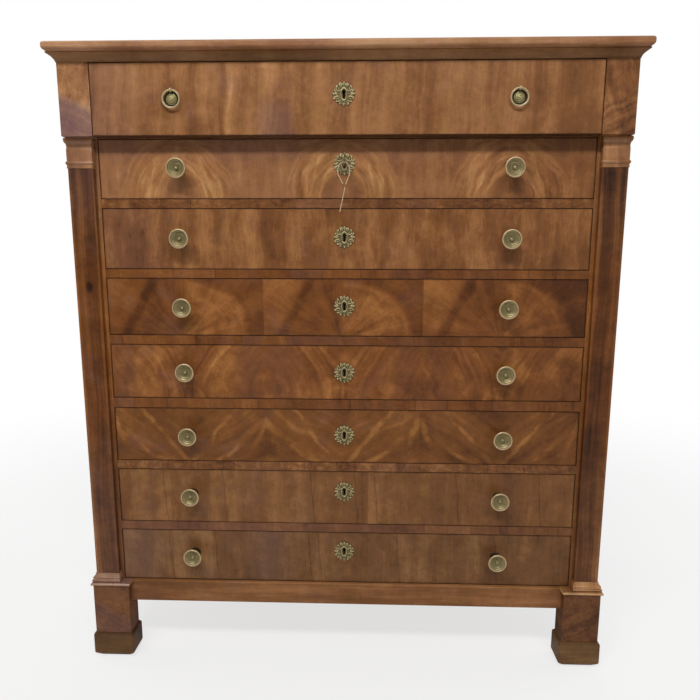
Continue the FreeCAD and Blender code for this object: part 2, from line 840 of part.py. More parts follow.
def cord_tube(points, diameter):
    """A cord's tube: straight runs joined by tangent arcs as large as the runs allow."""
    edges = []
    start = points[0]
    length = 0.0
    for i in range(1, len(points) - 1):
        back = points[i - 1] - points[i]
        ahead = points[i + 1] - points[i]
        half_turn = (math.pi - back.getAngle(ahead)) / 2
        trim = 0.45 * min(back.Length, ahead.Length)
        radius = trim / math.tan(half_turn)
        back.normalize()
        ahead.normalize()
        enter = points[i] + back * trim
        leave = points[i] + ahead * trim
        inward = back + ahead
        inward.normalize()
        centre = points[i] + inward * (radius / math.cos(half_turn))
        edges.append(Part.LineSegment(start, enter).toShape())
        edges.append(Part.Arc(enter, centre - inward * radius, leave).toShape())
        length += (enter - start).Length + 2 * half_turn * radius
        print("cord turn", i, "radius", round(radius, 1))
        start = leave
    edges.append(Part.LineSegment(start, points[-1]).toShape())
    length += (points[-1] - start).Length
    path = Part.Wire(edges)
    along = (points[1] - points[0]).normalize()
    across = along.cross(vec(0, 1, 0)).normalize()
    corners = []
    for i in range(string_facets):
        angle = 2 * math.pi * (i + 0.5) / string_facets
        corners.append(points[0] + across * (diameter / 2 * math.cos(angle))
                       + vec(0, diameter / 2 * math.sin(angle), 0))
    section = Part.makePolygon(corners + corners[:1])
    tube = path.makePipeShell([section], True, False)
    expected = Part.Face(section).Area * length
    print("cord length", round(length, 1), "volume ratio", round(tube.Volume / expected, 4))
    return tube


def key_string(d):
    bow_y = d.face - key_stem_reach - key_bow_radius + 1.0
    return cord_tube([vec(x, bow_y, z) for x, z in string_points], string_diameter)


# ---------------------------------------------------------------- all nodes
def main():
    os.makedirs("parts", exist_ok=True)
    save("top_board", [top_board()])
    save("cornice_moulding", cornice())
    save("frieze_blocks", pair(frieze_block()))
    save("capitals", pair(capital()))
    shaft = box(pilaster_inner, half_case, pilaster_face, drawer_face, shaft_bottom, shaft_top)
    save("pilasters", pair(shaft))
    save("pilaster_bases", pair(pilaster_base()))
    save("plinth_blocks", pair(plinth_block()))
    save("foot_shoes", pair(shoe()))
    save("corner_posts", corner_posts())
    side = box(side_inner, half_case, post_back, rear_post_front, base_underside, case_top)
    save("side_panels", pair(side))
    save("back_boards", back_boards())
    save("drawer_rails", drawer_rails())
    save("drawer_runners", drawer_runners())
    save("base_rail", [base_rail()])
    save("bottom_board", [bottom_board()])
    for n in drawers:
        d = Drawer(n)
        name = "drawer_" + str(n)
        save(name + "_front", drawer_front(d))
        save(name + "_box", drawer_box(d))
        save(name + ("_pull_plates" if n == top_drawer else "_knobs"),
             ring_pull_plates(d) if n == top_drawer else knobs(d))
        save(name + "_escutcheon", escutcheon(d))
        save(name + "_lock", lock(d))
    frieze_drawer = Drawer(top_drawer)
    save("ring_left", [pull_ring(frieze_drawer, -handle_x)])
    save("ring_right", [pull_ring(frieze_drawer, handle_x)])
    keyed = Drawer(keyed_drawer)
    save("lock_bolt", [lock_bolt(keyed)])
    save("key", [key(keyed)])
    save("key_string", [key_string(keyed)])
    print("overall height", overall_height, "key height", keyed.key_z)


main()
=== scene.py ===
"""Looks of the walnut chest: veneers, brass, string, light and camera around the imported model.

Metres, +Z up, the front faces -Y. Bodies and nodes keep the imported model's names.
"""
import math

import bmesh
import bpy
from mathutils import Matrix, Vector


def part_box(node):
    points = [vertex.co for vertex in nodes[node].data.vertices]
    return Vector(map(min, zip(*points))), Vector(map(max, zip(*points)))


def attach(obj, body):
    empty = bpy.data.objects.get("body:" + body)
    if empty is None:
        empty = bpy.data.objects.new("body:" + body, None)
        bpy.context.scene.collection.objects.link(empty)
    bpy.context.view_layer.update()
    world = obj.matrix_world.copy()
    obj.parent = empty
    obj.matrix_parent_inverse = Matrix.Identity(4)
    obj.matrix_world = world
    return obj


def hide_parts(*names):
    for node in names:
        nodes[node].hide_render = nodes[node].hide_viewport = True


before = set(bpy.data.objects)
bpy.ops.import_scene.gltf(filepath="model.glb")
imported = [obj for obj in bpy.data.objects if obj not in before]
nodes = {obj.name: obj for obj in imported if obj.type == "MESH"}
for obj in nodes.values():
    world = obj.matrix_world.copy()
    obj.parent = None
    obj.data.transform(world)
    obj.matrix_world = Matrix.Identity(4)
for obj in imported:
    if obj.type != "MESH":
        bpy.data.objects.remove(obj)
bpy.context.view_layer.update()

scene = bpy.context.scene

# -------- sizes, in metres
mm = 0.001
drawer_numbers = range(1, 9)
frieze_drawer = 1
keyed_drawer = 2
back_board_count = 4

knob_radius = 19.0 * mm
knob_projection = 27.0 * mm
knob_rim = 2.0 * mm
knob_foot = 10.2 * mm
knob_foot_bead = 0.9 * mm
knob_seat = 10.6 * mm
shank_radius = 3.0 * mm
nut_width = 10.0 * mm
nut_thickness = 5.0 * mm
nut_corner_cut = 0.28  # share of half the width
nut_shoulder = 0.8  # share of the thickness below its narrow top
nut_top_inset = 0.12
ring_radius = 15.6 * mm
ring_wire = 1.75 * mm
ring_stand_off = 6.2 * mm
eye_length = 4.0 * mm
eye_radius = 3.6 * mm
eye_bore = 2.0 * mm
lug_sections = (  # along the bore, shares of the lug's radius and of the bore's
    (-1.0, 0.78, 1.1), (-0.72, 1.0, 1.0), (0.72, 1.0, 1.0), (1.0, 0.78, 1.1),
)
key_stem_radius = 3.0 * mm
key_stem_bore = 1.55 * mm
key_bore_depth = 9.0 * mm
key_bow_radius = 11.5 * mm
key_bow_hole = 7.0 * mm
key_bow_flatness = 0.75  # thickness of its wire along X, by its width
key_bow_start = 22.0 * mm  # from the drawer's face, on the stem
key_bow_overlap = 1.0 * mm  # of the bow over the stem
key_bit_thickness = 2.2 * mm
key_bit_width = 3.8 * mm
string_diameter = 2.0 * mm

turned_segments = 64
key_segments = 32
ring_segments = 72
wire_segments = 16
eye_segments = 28
plate_segments = 144  # round a keyhole plate
plate_rings = 34  # from its keyhole to its edge

leaf_width = 158.5 * mm  # one leaf of veneer; every second one is turned over
middle_seam = -3.0 * mm
veneer_thickness = 1.0 * mm
seam_dark = 0.1 * mm  # a seam is dark this near to its line
seam_faint = 0.35 * mm  # and gone this far from it
front_arris = 0.7 * mm
board_arris = 0.4 * mm
block_arris = 0.6 * mm
moulding_arris = 0.2 * mm
base_rail_arris = 0.3 * mm
shoe_arris = 2.5 * mm

lowest_rail = 295.0 * mm  # height of its middle
rail_spacing = 132.5 * mm
rail_piece = 68.0 * mm  # usual length of a piece of its veneer
burr_rails = (5.0, 1.0)  # counted upwards from 0
violet_rail = 0.0
strip_width = 83.0 * mm  # of the plain figures' strips

# -------- profiles and routes, in mm
# The string's (x, z), from the knot round the loop to the loose end.
string_route = [
    (-1.6, 995.0), (-5.6, 1003.0), (-11.4, 1012.5), (-11.0, 1024.5), (-5.2, 1033.7), (5.0, 1033.9),
    (10.8, 1024.6), (11.4, 1012.5), (6.2, 1002.0), (1.8, 987.5), (-3.2, 962.0), (-7.4, 944.0),
]
# (radius, distance in front of the wood)
knob_neck = (
    (8.8, 2.0), (7.5, 3.9), (6.7, 6.6), (6.5, 9.6),
    (7.1, 12.8), (9.2, 15.8), (12.6, 18.4), (15.8, 20.4),
)
plate_steps = (
    (14.5, 0.0), (14.5, 0.7), (13.9, 1.2), (13.0, 1.2), (12.5, 0.9), (11.0, 0.9), (10.5, 1.3),
    (10.2, 2.3), (9.7, 3.0), (9.0, 3.2), (8.3, 2.3), (7.8, 2.3), (7.1, 4.1), (6.2, 4.6), (5.4, 3.6),
    (4.9, 3.6), (4.3, 5.2), (3.4, 5.5), (2.8, 4.5), (2.4, 4.5), (1.7, 6.2), (0.0, 6.5),
)
# (radius, depth behind the rim)
knob_dish = (
    (16.2, 0.5), (15.8, 1.8), (15.6, 3.2), (15.0, 4.1), (13.0, 5.1), (12.6, 4.9), (12.1, 4.9),
    (11.7, 5.6), (9.4, 6.6), (9.0, 6.4), (8.5, 6.4), (8.1, 7.0), (5.6, 7.5), (4.4, 7.7), (3.6, 7.7),
    (3.1, 7.2), (2.9, 4.9), (2.5, 4.1), (1.6, 3.5), (0.0, 3.3),
)
# (distance out of the key's stem, and in front of the wood)
key_turnings = (
    (0.0, 15.0), (0.9, 15.3), (1.0, 16.2), (0.2, 16.8), (0.0, 18.5), (0.3, 19.3),
    (1.2, 19.8), (1.2, 21.4), (0.2, 22.0), (-0.6, 23.2),
)
key_stem_end = 24.0

# Relief of the keyhole plates, round their middle.
relief_ground = 0.95
hollow_ground = 0.55
keyhole_edge_share = 0.75  # of the relief, beside the keyhole
outline_edge_share = 0.55
leaf_tips = 8
tips_start = 15.5
shell_start = 12.5
rosette_place = (14.6, 0.6)
scrolls = (  # x, z, radius, first and last angle in degrees, rise
    (9.8, 9.4, 4.4, -150, 70, 1.5),
    (12.6, -8.8, 4.6, -60, 160, 1.4),
    (7.6, -15.0, 2.9, -120, 120, 1.2),
    (4.6, 15.2, 2.5, -90, 150, 1.3),
    (16.6, 7.4, 2.4, -170, 60, 1.1),
)

# -------- colours
walnut_tones = (
    (0.0, "2f1a0c"), (0.25, "5a351c"), (0.5, "7c4f2c"), (0.75, "a16f45"), (1.0, "c79766"),
)
inner_tones = ((0.0, "6f5233"), (0.5, "9c7850"), (1.0, "bd9c72"))
cotton_tones = ((0.3, "957c5c"), (0.5, "bfa582"), (0.7, "dcc9a8"))
white = "ffffff"
mauve = "75595c"
olive = "e9f6c4"
amber = "fff1d2"
# Dark brown of grime and of the painted shade along the drawer fronts' edges.
grime_and_shade_brown = "24150b"
dirt_brown = "8a6c50"
joint_brown = "1c1109"
whipping_red = "8e5746"
verdigris = "cdd6b0"
tarnish = "6b5838"

# Brass by its distance in front of the wood, in mm: patina and painted shade in hollows, rubbed
# brass and painted highlights at the front.
knob_wear_and_light = (
    (0.0, "241b0c"), (7.0, "35290f"), (17.0, "5d4e30"), (20.0, "84764f"), (22.0, "94845c"),
    (23.5, "ab9b72"), (25.6, "a38c66"), (26.9, "d0b48c"),
)
pull_wear_and_light = (
    (0.0, "241b0c"), (1.3, "382c14"), (2.4, "92865c"), (4.6, "b0a476"), (6.4, "c8bb8e"),
    (7.9, "bda77f"),
)
plate_wear_and_light = ((0.0, "241c0b"), (0.9, "4f4426"), (1.5, "7d7048"), (2.1, "a6956a"), (2.8, "d6c094"))


# -------- arithmetic on node sockets
noise_apart = 7.31  # between two noises of one material
drawer_apart = 100.0  # the same between two drawers
grain_apart = 3.7  # and along the grain
colour_mix = (0, 6, 7)  # inputs of a Mix node of colours: share, a, b
number_mix = (0, 2, 3)  # the same of a Mix node of numbers


def linear(code):
    """Linear colour of a web colour code."""
    values = []
    for i in (0, 2, 4):
        share = int(code[i:i + 2], 16) / 255
        values.append(share / 12.92 if share <= 0.04045 else ((share + 0.055) / 1.055) ** 2.4)
    return (*values, 1.0)


def settle(node, numbers):
    """Default values by input name, where _ stands for a blank."""
    for key, number in numbers.items():
        node.inputs[key.replace("_", " ")].default_value = number
    return node


def add(tree, kind, **numbers):
    """A new shader node with its default values."""
    return settle(tree.nodes.new("ShaderNode" + kind), numbers)


class Field:
    """A number that varies over a surface: a socket of a graph, with arithmetic."""

    def __init__(self, graph, socket):
        self.graph = graph
        self.socket = socket

    def __add__(self, other):
        return self.graph.math("ADD", self, other)

    def __sub__(self, other):
        return self.graph.math("SUBTRACT", self, other)

    def __mul__(self, other):
        return self.graph.math("MULTIPLY", self, other)

    def __truediv__(self, other):
        return self.graph.math("DIVIDE", self, other)

    def __rsub__(self, other):
        return self.graph.math("SUBTRACT", other, self)

    def __abs__(self):
        return self.graph.math("ABSOLUTE", self)

    __radd__ = __add__
    __rmul__ = __mul__


class Graph:
    """One material's node tree, as expressions of the place x, y, z on the surface, in metres."""

    def __init__(self, name):
        self.material = bpy.data.materials.new(name)
        self.material.use_nodes = True
        self.tree = self.material.node_tree
        self.shader = self.tree.nodes["Principled BSDF"]
        place = add(self.tree, "TexCoord")
        split = add(self.tree, "SeparateXYZ")
        self.tree.links.new(place.outputs["Object"], split.inputs[0])
        self.x, self.y, self.z = [Field(self, out) for out in split.outputs]
        self.seed = 0.0
        self.hue = 0.0  # share of mauve in a polished wood
        self.warm = 0.0  # and of amber

    def put(self, value, socket):
        if isinstance(value, Field):
            value = value.socket
        if isinstance(value, bpy.types.NodeSocket):
            self.tree.links.new(value, socket)
        else:
            socket.default_value = value

    def feed(self, node, *values):
        """The output of a node with these inputs."""
        for value, socket in zip(values, node.inputs):
            self.put(value, socket)
        return node.outputs[0]

    def math(self, operation, *values):
        node = add(self.tree, "Math")
        node.operation = operation
        return Field(self, self.feed(node, *values))

    def low(self, a, b):
        return self.math("MINIMUM", a, b)

    def reach(self, a, b, stretch=1.0):
        """Distance of (a, b) from (0, 0), with b counted more or less by stretch."""
        return self.math("SQRT", a * a + b * b * stretch)

    def step(self, value, start, end):
        """0 before start and 1 after end, smooth between them; end may be the lower one."""
        low, high, first, last = (start, end, 0.0, 1.0) if start < end else (end, start, 1.0, 0.0)
        node = add(self.tree, "MapRange", From_Min=low, From_Max=high, To_Min=first, To_Max=last)
        node.interpolation_type = "SMOOTHSTEP"
        self.put(value, node.inputs["Value"])
        return Field(self, node.outputs["Result"])

    def between(self, value, start, end, soft):
        """1 between start and end and 0 outside, with soft edges."""
        rise = self.step(value, start - soft, start + soft)
        return rise * self.step(value, end + soft, end - soft)

    def bump(self, value, centre, half):
        """1 at the centre, falling softly to 0 a little past half on both sides."""
        return self.step(abs(value - centre), half * 1.5, half * 0.3)

    def vector(self, *values):
        return self.feed(add(self.tree, "CombineXYZ"), *values)

    def noise(self, x, y, z=0.0, detail=2.0, rough=0.5, warp=0.0):
        """Noise from about 0 to 1, one wave long for each whole number of its coordinates."""
        self.seed += noise_apart
        node = add(self.tree, "TexNoise", Scale=1.0, Detail=detail, Roughness=rough,
                   Distortion=warp)
        self.put(self.vector(x, y, z + self.seed), node.inputs["Vector"])
        return Field(self, node.outputs["Fac"])

    def solid(self, waves, size=1.0, **kind):
        """Noise all through the piece, with so many waves over size metres."""
        return self.noise(*[c * waves / size for c in (self.x, self.y, self.z)], **kind)

    def random(self, *values):
        """A new number from 0 to 1 for each whole number."""
        self.seed += noise_apart
        node = add(self.tree, "TexWhiteNoise")
        node.noise_dimensions = "3D"
        whole = [self.math("FLOOR", v) for v in values] + [self.seed, 0.5]
        self.put(self.vector(*whole[:3]), node.inputs["Vector"])
        return Field(self, node.outputs["Value"])

    def ramp(self, value, *stops):
        """Colour by value; the stops are (value, web code)."""
        node = add(self.tree, "ValToRGB")
        points = node.color_ramp.elements
        while len(points) < len(stops):
            points.new(0.5)
        for point, (place, code) in zip(points, stops):
            point.position = place
            point.color = linear(code)
        self.put(value, node.inputs["Fac"])
        return node.outputs["Color"]

    def blend(self, share, a, b, kind="MIX"):
        """Colour a turned into colour b by share; a colour is a socket or a web code."""
        node = add(self.tree, "Mix")
        node.data_type = "RGBA"
        node.blend_type = kind
        node.clamp_factor = True
        colours = [linear(c) if isinstance(c, str) else c for c in (a, b)]
        for value, place in zip([share] + colours, colour_mix):
            self.put(value, node.inputs[place])
        return node.outputs[2]

    def finish(self, colour, rough, height, depth, strength=0.5, **constants):
        """Colour, roughness and bump go to the shader; constants are set on its own sockets."""
        self.put(colour, self.shader.inputs["Base Color"])
        self.put(rough, self.shader.inputs["Roughness"])
        bump = add(self.tree, "Bump", Strength=strength, Distance=depth)
        self.put(height, bump.inputs["Height"])
        self.put(bump.outputs[0], self.shader.inputs["Normal"])
        settle(self.shader, constants)
        return self.material


# -------- walnut and other woods
def grain(g, across, along, streaks=0.5, fine=0.3):
    """Tone round 0 and surface height of a planed wood, from its own two directions."""
    bend = (g.noise(across * 9, along * 7) - 0.5) * 0.014
    p = across + bend
    broad = g.noise(p * 30, along * 4, detail=3, rough=0.55) - 0.5
    streak = g.noise(p * 120, along * 7, detail=3, rough=0.6) - 0.5
    hair = g.noise(p * 600, along * 24) - 0.5
    flecks = g.step(g.noise(p * 1500, along * 55, detail=1), 0.62, 0.72)
    tone = broad * (streaks * 1.8) + streak * (streaks * 0.5) + hair * fine - flecks * 0.04
    return tone, hair * 0.5 - flecks


def clouds(g, size, start=0.5, end=0.68):
    """Share from 0 to 1 of soft patches, about size metres across."""
    return g.step(g.solid(1.0, size, detail=3, rough=0.6), start, end)


def mottle(g, size):
    """Soft light and dark blotches round 0, the broad ones about size metres across."""
    broad = g.solid(1.0, size) - 0.5
    small = g.solid(3.1, size, detail=3, rough=0.6, warp=0.6) - 0.5
    fine = g.solid(11, size) - 0.5
    return broad * 0.6 + small * 0.45 + fine * 0.22


def dust_and_shade(g, box, width):
    """Share from 0 to 1 of grime and painted shade along the edges of a flat face, next to the
    gaps.
    """
    low, high = box
    edge = g.low(g.low(g.x - low.x, high.x - g.x), g.low(g.z - low.z, high.z - g.z))
    ragged = edge + (g.solid(90, detail=3) - 0.5) * (width * 1.2)
    return g.step(ragged, width, -width * 0.2)


def polished(g, tone, height, purple, green=0.2, tint=white, rough=0.42, gloss=0.2, grime_and_shade=None):
    """French-polished wood; purple and green are the most that its patches lean to those hues."""
    # Tone falls towards +X: painted shade, the right side darker as if lit from the left.
    colour = g.ramp(tone - g.x * 0.09, *walnut_tones)
    colour = g.blend(clouds(g, 0.04, 0.48, 0.64) * green, colour, olive, "MULTIPLY")
    colour = g.blend(g.warm, colour, amber, "MULTIPLY")
    hue = g.math("MAXIMUM", clouds(g, 0.055) * purple, g.hue) * g.step(g.x, 0.6, -0.3)
    colour = g.blend(hue, colour, mauve)
    colour = g.blend(1.0, colour, tint, "MULTIPLY")
    roughness = rough + (g.solid(40, detail=4) - 0.5) * 0.16
    # Grime and painted shade: dark brown along the edges beside the gaps.
    if grime_and_shade is not None:
        colour = g.blend(grime_and_shade * 0.5, colour, grime_and_shade_brown)
        roughness = roughness + grime_and_shade * 0.2
    return g.finish(colour, roughness, height, 0.06 * mm, 0.4, Specular_IOR_Level=gloss)


# Figures of the drawer fronts: each gives the grain's two directions, the tone it adds and its
# share of mauve. In metres, x is from the middle of the chest, h from the drawer's lower edge,
# u across one leaf of veneer and v across a pair; t is h as a share of the drawer's height.
def wander(g, broad, small):
    """Drift of a figure's lines: broad over about 70 mm and small over about 20 mm."""
    slow = (g.noise(g.x * 14, g.h * 14) - 0.5) * broad
    return slow + (g.noise(g.x * 50, g.h * 50) - 0.5) * small


def veined(g):
    """Straight figure: a dark vein, warm streaks beside it, a violet patch past the seam."""
    lean = g.x - g.h * 0.06 + wander(g, 0.02, 0.001)
    vein = g.bump(lean, -0.2275, 0.005)
    flame = g.bump(g.x - g.h * 0.18, -0.218, 0.007) + g.bump(lean, -0.185, 0.012) * 0.6
    ember = g.bump(lean, -0.135, 0.012) * g.step(g.h, 0.05, 0.11)
    patch = g.between(g.x, -0.158, -0.095, 0.012) * g.step(g.h, 0.085, 0.03)
    left = g.step(g.x, -0.33, -0.46)
    tone = flame * 0.06 + ember * 0.07 - vein * 0.13 - patch * 0.10
    return lean, g.h * 0.6, tone, patch * 0.3 + left * 0.2


def arched(g):
    """Rainbow arches over the foot of each leaf, plain violet-brown wood between, and painted mauve
    shade at the top where the frieze drawer's shadow falls.
    """
    radius = g.reach(g.u, g.h, 0.7) + wander(g, 0.030, 0.004)
    inside = g.between(radius, 0.036, 0.098, 0.016)
    lines = g.noise(radius * 90, g.x * 7, g.h * 12) - 0.5
    threads = g.step(g.noise(radius * 230, g.x * 9, g.h * 14, detail=1), 0.60, 0.78)
    heart = g.step(radius, 0.046, 0.03)
    tone = inside * 0.10 + lines * inside * 0.72 - threads * inside * 0.12 - heart * 0.02 - 0.02
    # Mauve painted in the top band, where the frieze drawer casts its shadow: painted shade colour.
    frieze_shadow_mauve = g.step(g.h, g.top - 0.05, g.top - 0.02)
    tone = tone - g.step(g.x, 0.05, 0.40) * 0.07
    return g.u + radius * inside, g.h, tone, (1.0 - inside) * 0.12 + frieze_shadow_mauve * 0.15


def fine_grained(g):
    """Plain upright grain: greyer at the left, a lighter leaf, and one small knot."""
    light = g.between(g.x, -0.285, -0.165, 0.012)
    left = g.step(g.x, -0.30, -0.42)
    away = g.reach(g.x + 0.396, g.h - 0.07, 0.6)
    knot = g.step(away, 0.008, 0.001)
    across = g.x + knot * 0.02 + wander(g, 0.02, 0.001)
    return across, g.h * 1.6, light * 0.07 - knot * 0.3 - left * 0.09, left * 0.12


def crotch(g):
    """Feathered crotch: light wedges at the seams, a dark diagonal, a bright fan past the foot."""
    drift = wander(g, 0.030, 0.010)
    t = g.h / g.top
    v = g.v + drift * 0.7
    side = v - 0.158
    radius = g.reach(side, g.h, 1.44) + drift * 0.7
    ray = g.math("ARCTAN2", side, g.h + 0.008)
    rays = g.noise(ray * 4.2, radius * 12, g.x * 2, detail=3, rough=0.65) - 0.5
    arcs = g.noise(radius * 50, ray * 1.6, g.x * 2, detail=3, rough=0.6) - 0.5
    right = g.step(side, -0.006, 0.012)
    flame = right * g.step(radius, 0.144, 0.120)
    shade = right - flame
    rim = right * g.bump(radius + drift * 0.5, 0.128, 0.006)
    dim = g.between(v, 0.075, 0.150, 0.02)
    ends = g.step(abs(g.x), 0.33, 0.41)
    wedge = g.step(v - t * 0.06, 0.038, 0.012) * (0.4 + t * 0.6)
    slash = g.bump(v - t * 0.06, 0.038, 0.011)
    tone = wedge * 0.13 - slash * 0.13 + flame * 0.13 - shade * 0.08 + rim * 0.02 - dim * 0.05
    tone = tone - ends * 0.14 - 0.035
    tone = tone + rays * (0.55 * g.step(radius, 0.15, 0.06)) + arcs * (flame * 0.3 + 0.15)
    return ray * 0.06, radius * 0.6, tone, 0.0


def funnelled(g):
    """Flames that open upwards from the foot of each leaf, over a small arch."""
    t = g.h / g.top
    across = g.u - t * t * 0.050 + wander(g, 0.030, 0.002)
    lines = g.noise(across * 60, g.x * 5, g.h * 9) - 0.5
    lip = g.bump(across, 0.008, 0.0035)
    streaks = g.bump(across, 0.036, 0.005) + g.bump(across, 0.054, 0.003) * 0.7
    streaks = streaks * g.step(t, 0.15, 0.45)
    dark = g.between(g.u, 0.102, 0.150, 0.02)
    lunette = g.bump(g.reach(g.u, g.h, 1.7), 0.032, 0.004)
    glow = clouds(g, 0.05, 0.48, 0.64)
    tone = lines * 0.40 * g.step(g.u, 0.14, 0.08) - lip * 0.11 + streaks * 0.08
    tone = tone - dark * 0.09 + lunette * 0.08 + glow * 0.13
    return across, g.h, tone, dark * 0.1


def zigzag(g):
    """Slanting grain, a zigzag where the leaves meet, and light arcs round the knobs."""
    t = g.h / g.top
    drift = wander(g, 0.040, 0.003)
    across = g.h - g.u * 0.64 + drift
    lines = g.noise(across * 50, g.u * 4, g.x * 3) - 0.5
    ribbon = g.noise(across * 22, g.u * 5, g.x * 3, detail=1) - 0.5
    smile = g.reach(g.u, g.h - 0.15) + drift * 0.3
    curve = g.bump(smile, 0.157, 0.005) * g.between(g.u, 0.046, 0.108, 0.02)
    fork = g.bump(g.u - t * 0.091 + drift, 0.010, 0.006)
    horn = g.bump(g.u - t * 0.04 + drift, 0.124, 0.007) * g.between(t, 0.30, 0.95, 0.2)
    breaks = g.step(g.noise(g.x * 40, g.h * 40), 0.30, 0.62)
    marks = (curve * 1.4 + fork * 1.2 + horn * 1.2) * breaks
    return across, g.u, lines * 0.3 + ribbon * 0.42 + marks * 0.18, 0.0


def jointed(places, zones):
    """Plain upright grain in strips, with fine dark joints at places and soft mauve zones."""
    def figure(g):
        joints = 0.0
        lean = g.x + g.h * 0.07
        for i, place in enumerate(places):
            wobble = (g.noise(g.h * 25, i * 3.3, detail=1) - 0.5) * 0.008
            joints = g.bump(lean + wobble, place, 0.0013) + joints
        zone = 0.0
        for start, end in zones:
            zone = g.between(g.x + wander(g, 0.04, 0.0), start, end, 0.035) + zone
        strip = g.random(g.x / strip_width + 0.4) - 0.5
        tone = strip * 0.09 - joints * 0.13 - zone * 0.04
        return g.x + wander(g, 0.012, 0.0), g.h, tone, zone * 0.22
    return figure


plain_figure = jointed((-0.372, -0.248, -0.063, 0.029, 0.070, 0.240, 0.408), ((0.33, 0.36),))
low_figure = jointed((-0.366, -0.268, -0.069, -0.048, 0.118, 0.322),
                     ((-0.50, -0.40), (-0.20, -0.125)))
drawer_looks = {  # figure, strength of streaks and of fine lines, tone, tint, amber
    1: (veined, (0.38, 0.14), 0.60, white, 0.0),
    2: (arched, (0.32, 0.13), 0.625, white, 0.15),
    3: (fine_grained, (0.44, 0.24), 0.54, white, 0.2),
    4: (crotch, (0.30, 0.14), 0.45, white, 1.0),
    5: (funnelled, (0.28, 0.14), 0.47, white, 1.0),
    6: (zigzag, (0.26, 0.14), 0.44, "f9ffff", 1.0),
    7: (plain_figure, (0.24, 0.18), 0.51, "faffff", 0.0),
    8: (low_figure, (0.24, 0.18), 0.515, "eef9ff", 0.0),
}


def drawer_veneer(n):
    """A drawer front: its figure in leaves with fine seams, on a core that shows behind."""
    g = Graph(f"drawer_{n}_veneer")
    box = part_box(f"drawer_{n}_front")
    low, high = box
    figure, strengths, level, tint, g.warm = drawer_looks[n]
    g.seed = n * drawer_apart
    g.h = g.z - low.z
    g.top = high.z - low.z
    g.u = g.math("PINGPONG", g.x - middle_seam, leaf_width)
    g.v = g.math("FLOORED_MODULO", g.x - middle_seam + leaf_width, 2 * leaf_width)
    across, along, extra, g.hue = figure(g)
    tone, height = grain(g, across, along + n * grain_apart, *strengths)
    seam = g.step(g.low(g.u, leaf_width - g.u), seam_faint, seam_dark)
    leaf = g.random((g.x - middle_seam) / leaf_width) - 0.5
    tone = tone + extra + level + mottle(g, 0.045) * 0.55 + leaf * 0.05 - seam * 0.1
    behind = g.step(g.y - low.y, veneer_thickness, veneer_thickness * 1.2)
    core, _ = grain(g, g.z, g.x)
    tone = tone * (1.0 - behind) + (core * 0.6 + 0.4) * behind
    # Grime and painted shade darken the front along its edges, next to the gaps.
    return polished(g, tone, height, 0.14, 0.25, tint, grime_and_shade=dust_and_shade(g, box, 3 * mm))


def crossbanded():
    """Rails: short pieces of cross-grain veneer, each with its own tone, and dark joints."""
    g = Graph("rail_veneer")
    rail = g.math("FLOOR", (g.z - lowest_rail) / rail_spacing + 0.5)
    place = g.x + rail * 0.37
    cell = place / rail_piece + (g.noise(place * 9, rail * 5.0, detail=1) - 0.5) * 2.2
    piece = g.random(cell, rail)
    tone, height = grain(g, place + g.z * 0.2, g.z, 0.3, 0.2)
    swirl = g.bump(rail, burr_rails[0], 0.3) + g.bump(rail, burr_rails[1], 0.3)
    burr = g.noise(place * 30, g.z * 50, detail=3, rough=0.65, warp=2.2) - 0.5
    tone = tone + 0.43 + (piece - 0.5) * 0.13 + burr * (swirl * 0.5 + 0.35)
    hairs = g.step(g.noise(place * 210, rail * 3.0, detail=1), 0.60, 0.70)
    hairs = hairs * g.step(piece, 0.75, 0.45)
    joint = g.step(g.math("PINGPONG", cell, 0.5), 0.016, 0.004) * g.step(piece, 0.2, 0.25)
    g.hue = g.step(g.random(cell, rail + 9.0), 0.78, 0.84) * 0.13
    g.hue = g.hue + g.bump(rail, violet_rail, 0.3) * 0.15
    g.warm = g.between(g.z, 0.50, 0.93, 0.08)
    tone = tone - g.warm * 0.02
    return polished(g, tone - joint * 0.16 - hairs * 0.10, height, 0.12)


def upright(name, level, lip=0.0):
    """Posts and pilasters: long streaks, a darker violet head, a warmer middle and blotches."""
    g = Graph(name)
    drift = (g.noise(g.x * 8, g.z * 4) - 0.5) * 0.03
    tone, height = grain(g, (abs(g.x) + drift) * 1.5, g.z * 0.3, 0.7, 0.14)
    head = g.step(g.z, 0.88, 1.04)
    g.warm = g.between(g.z, 0.45, 0.88, 0.08)
    g.hue = head * 0.14 + g.step(g.z, 0.48, 0.36) * 0.08
    low_right = g.step(g.x, 0.0, 0.1) * g.step(g.z, 0.5, 0.3) * 0.07
    tone = tone + level + low_right + mottle(g, 0.05) * 0.6 - head * 0.12 + g.warm * 0.02
    if lip:  # a pilaster's paler outer edge, and a small dark knot in the left one
        tone = tone + g.step(abs(g.x), 0.5255, 0.5275) * lip
        tone = tone - g.step(g.reach(g.x + 0.505, g.z - 0.80, 0.4), 0.010, 0.002) * 0.35
    return polished(g, tone, height, 0.15, 0.25)


def block_walnut():
    """Frieze blocks: a warm crotch above, greyer violet wood with dark curves below."""
    g = Graph("frieze_block_walnut")
    wave = (g.noise(g.x * 30, g.z * 30) - 0.5) * 0.02
    slope = g.z - abs(g.x) * 0.5 + wave
    lower = g.step(slope, 0.905, 0.880)
    tone, height = grain(g, abs(g.x) + wave + g.z * 0.2, g.z, 0.6, 0.3)
    curves = g.noise(slope * 95, g.x * 6) - 0.5
    dark = g.step(g.x, 0.0, 0.01) * 0.17
    tone = tone * 0.9 + 0.61 - dark + mottle(g, 0.03) * 0.8 + curves * lower * 0.9
    g.hue = lower * 0.62 + 0.08
    return polished(g, tone, height, 0.1, 0.15)


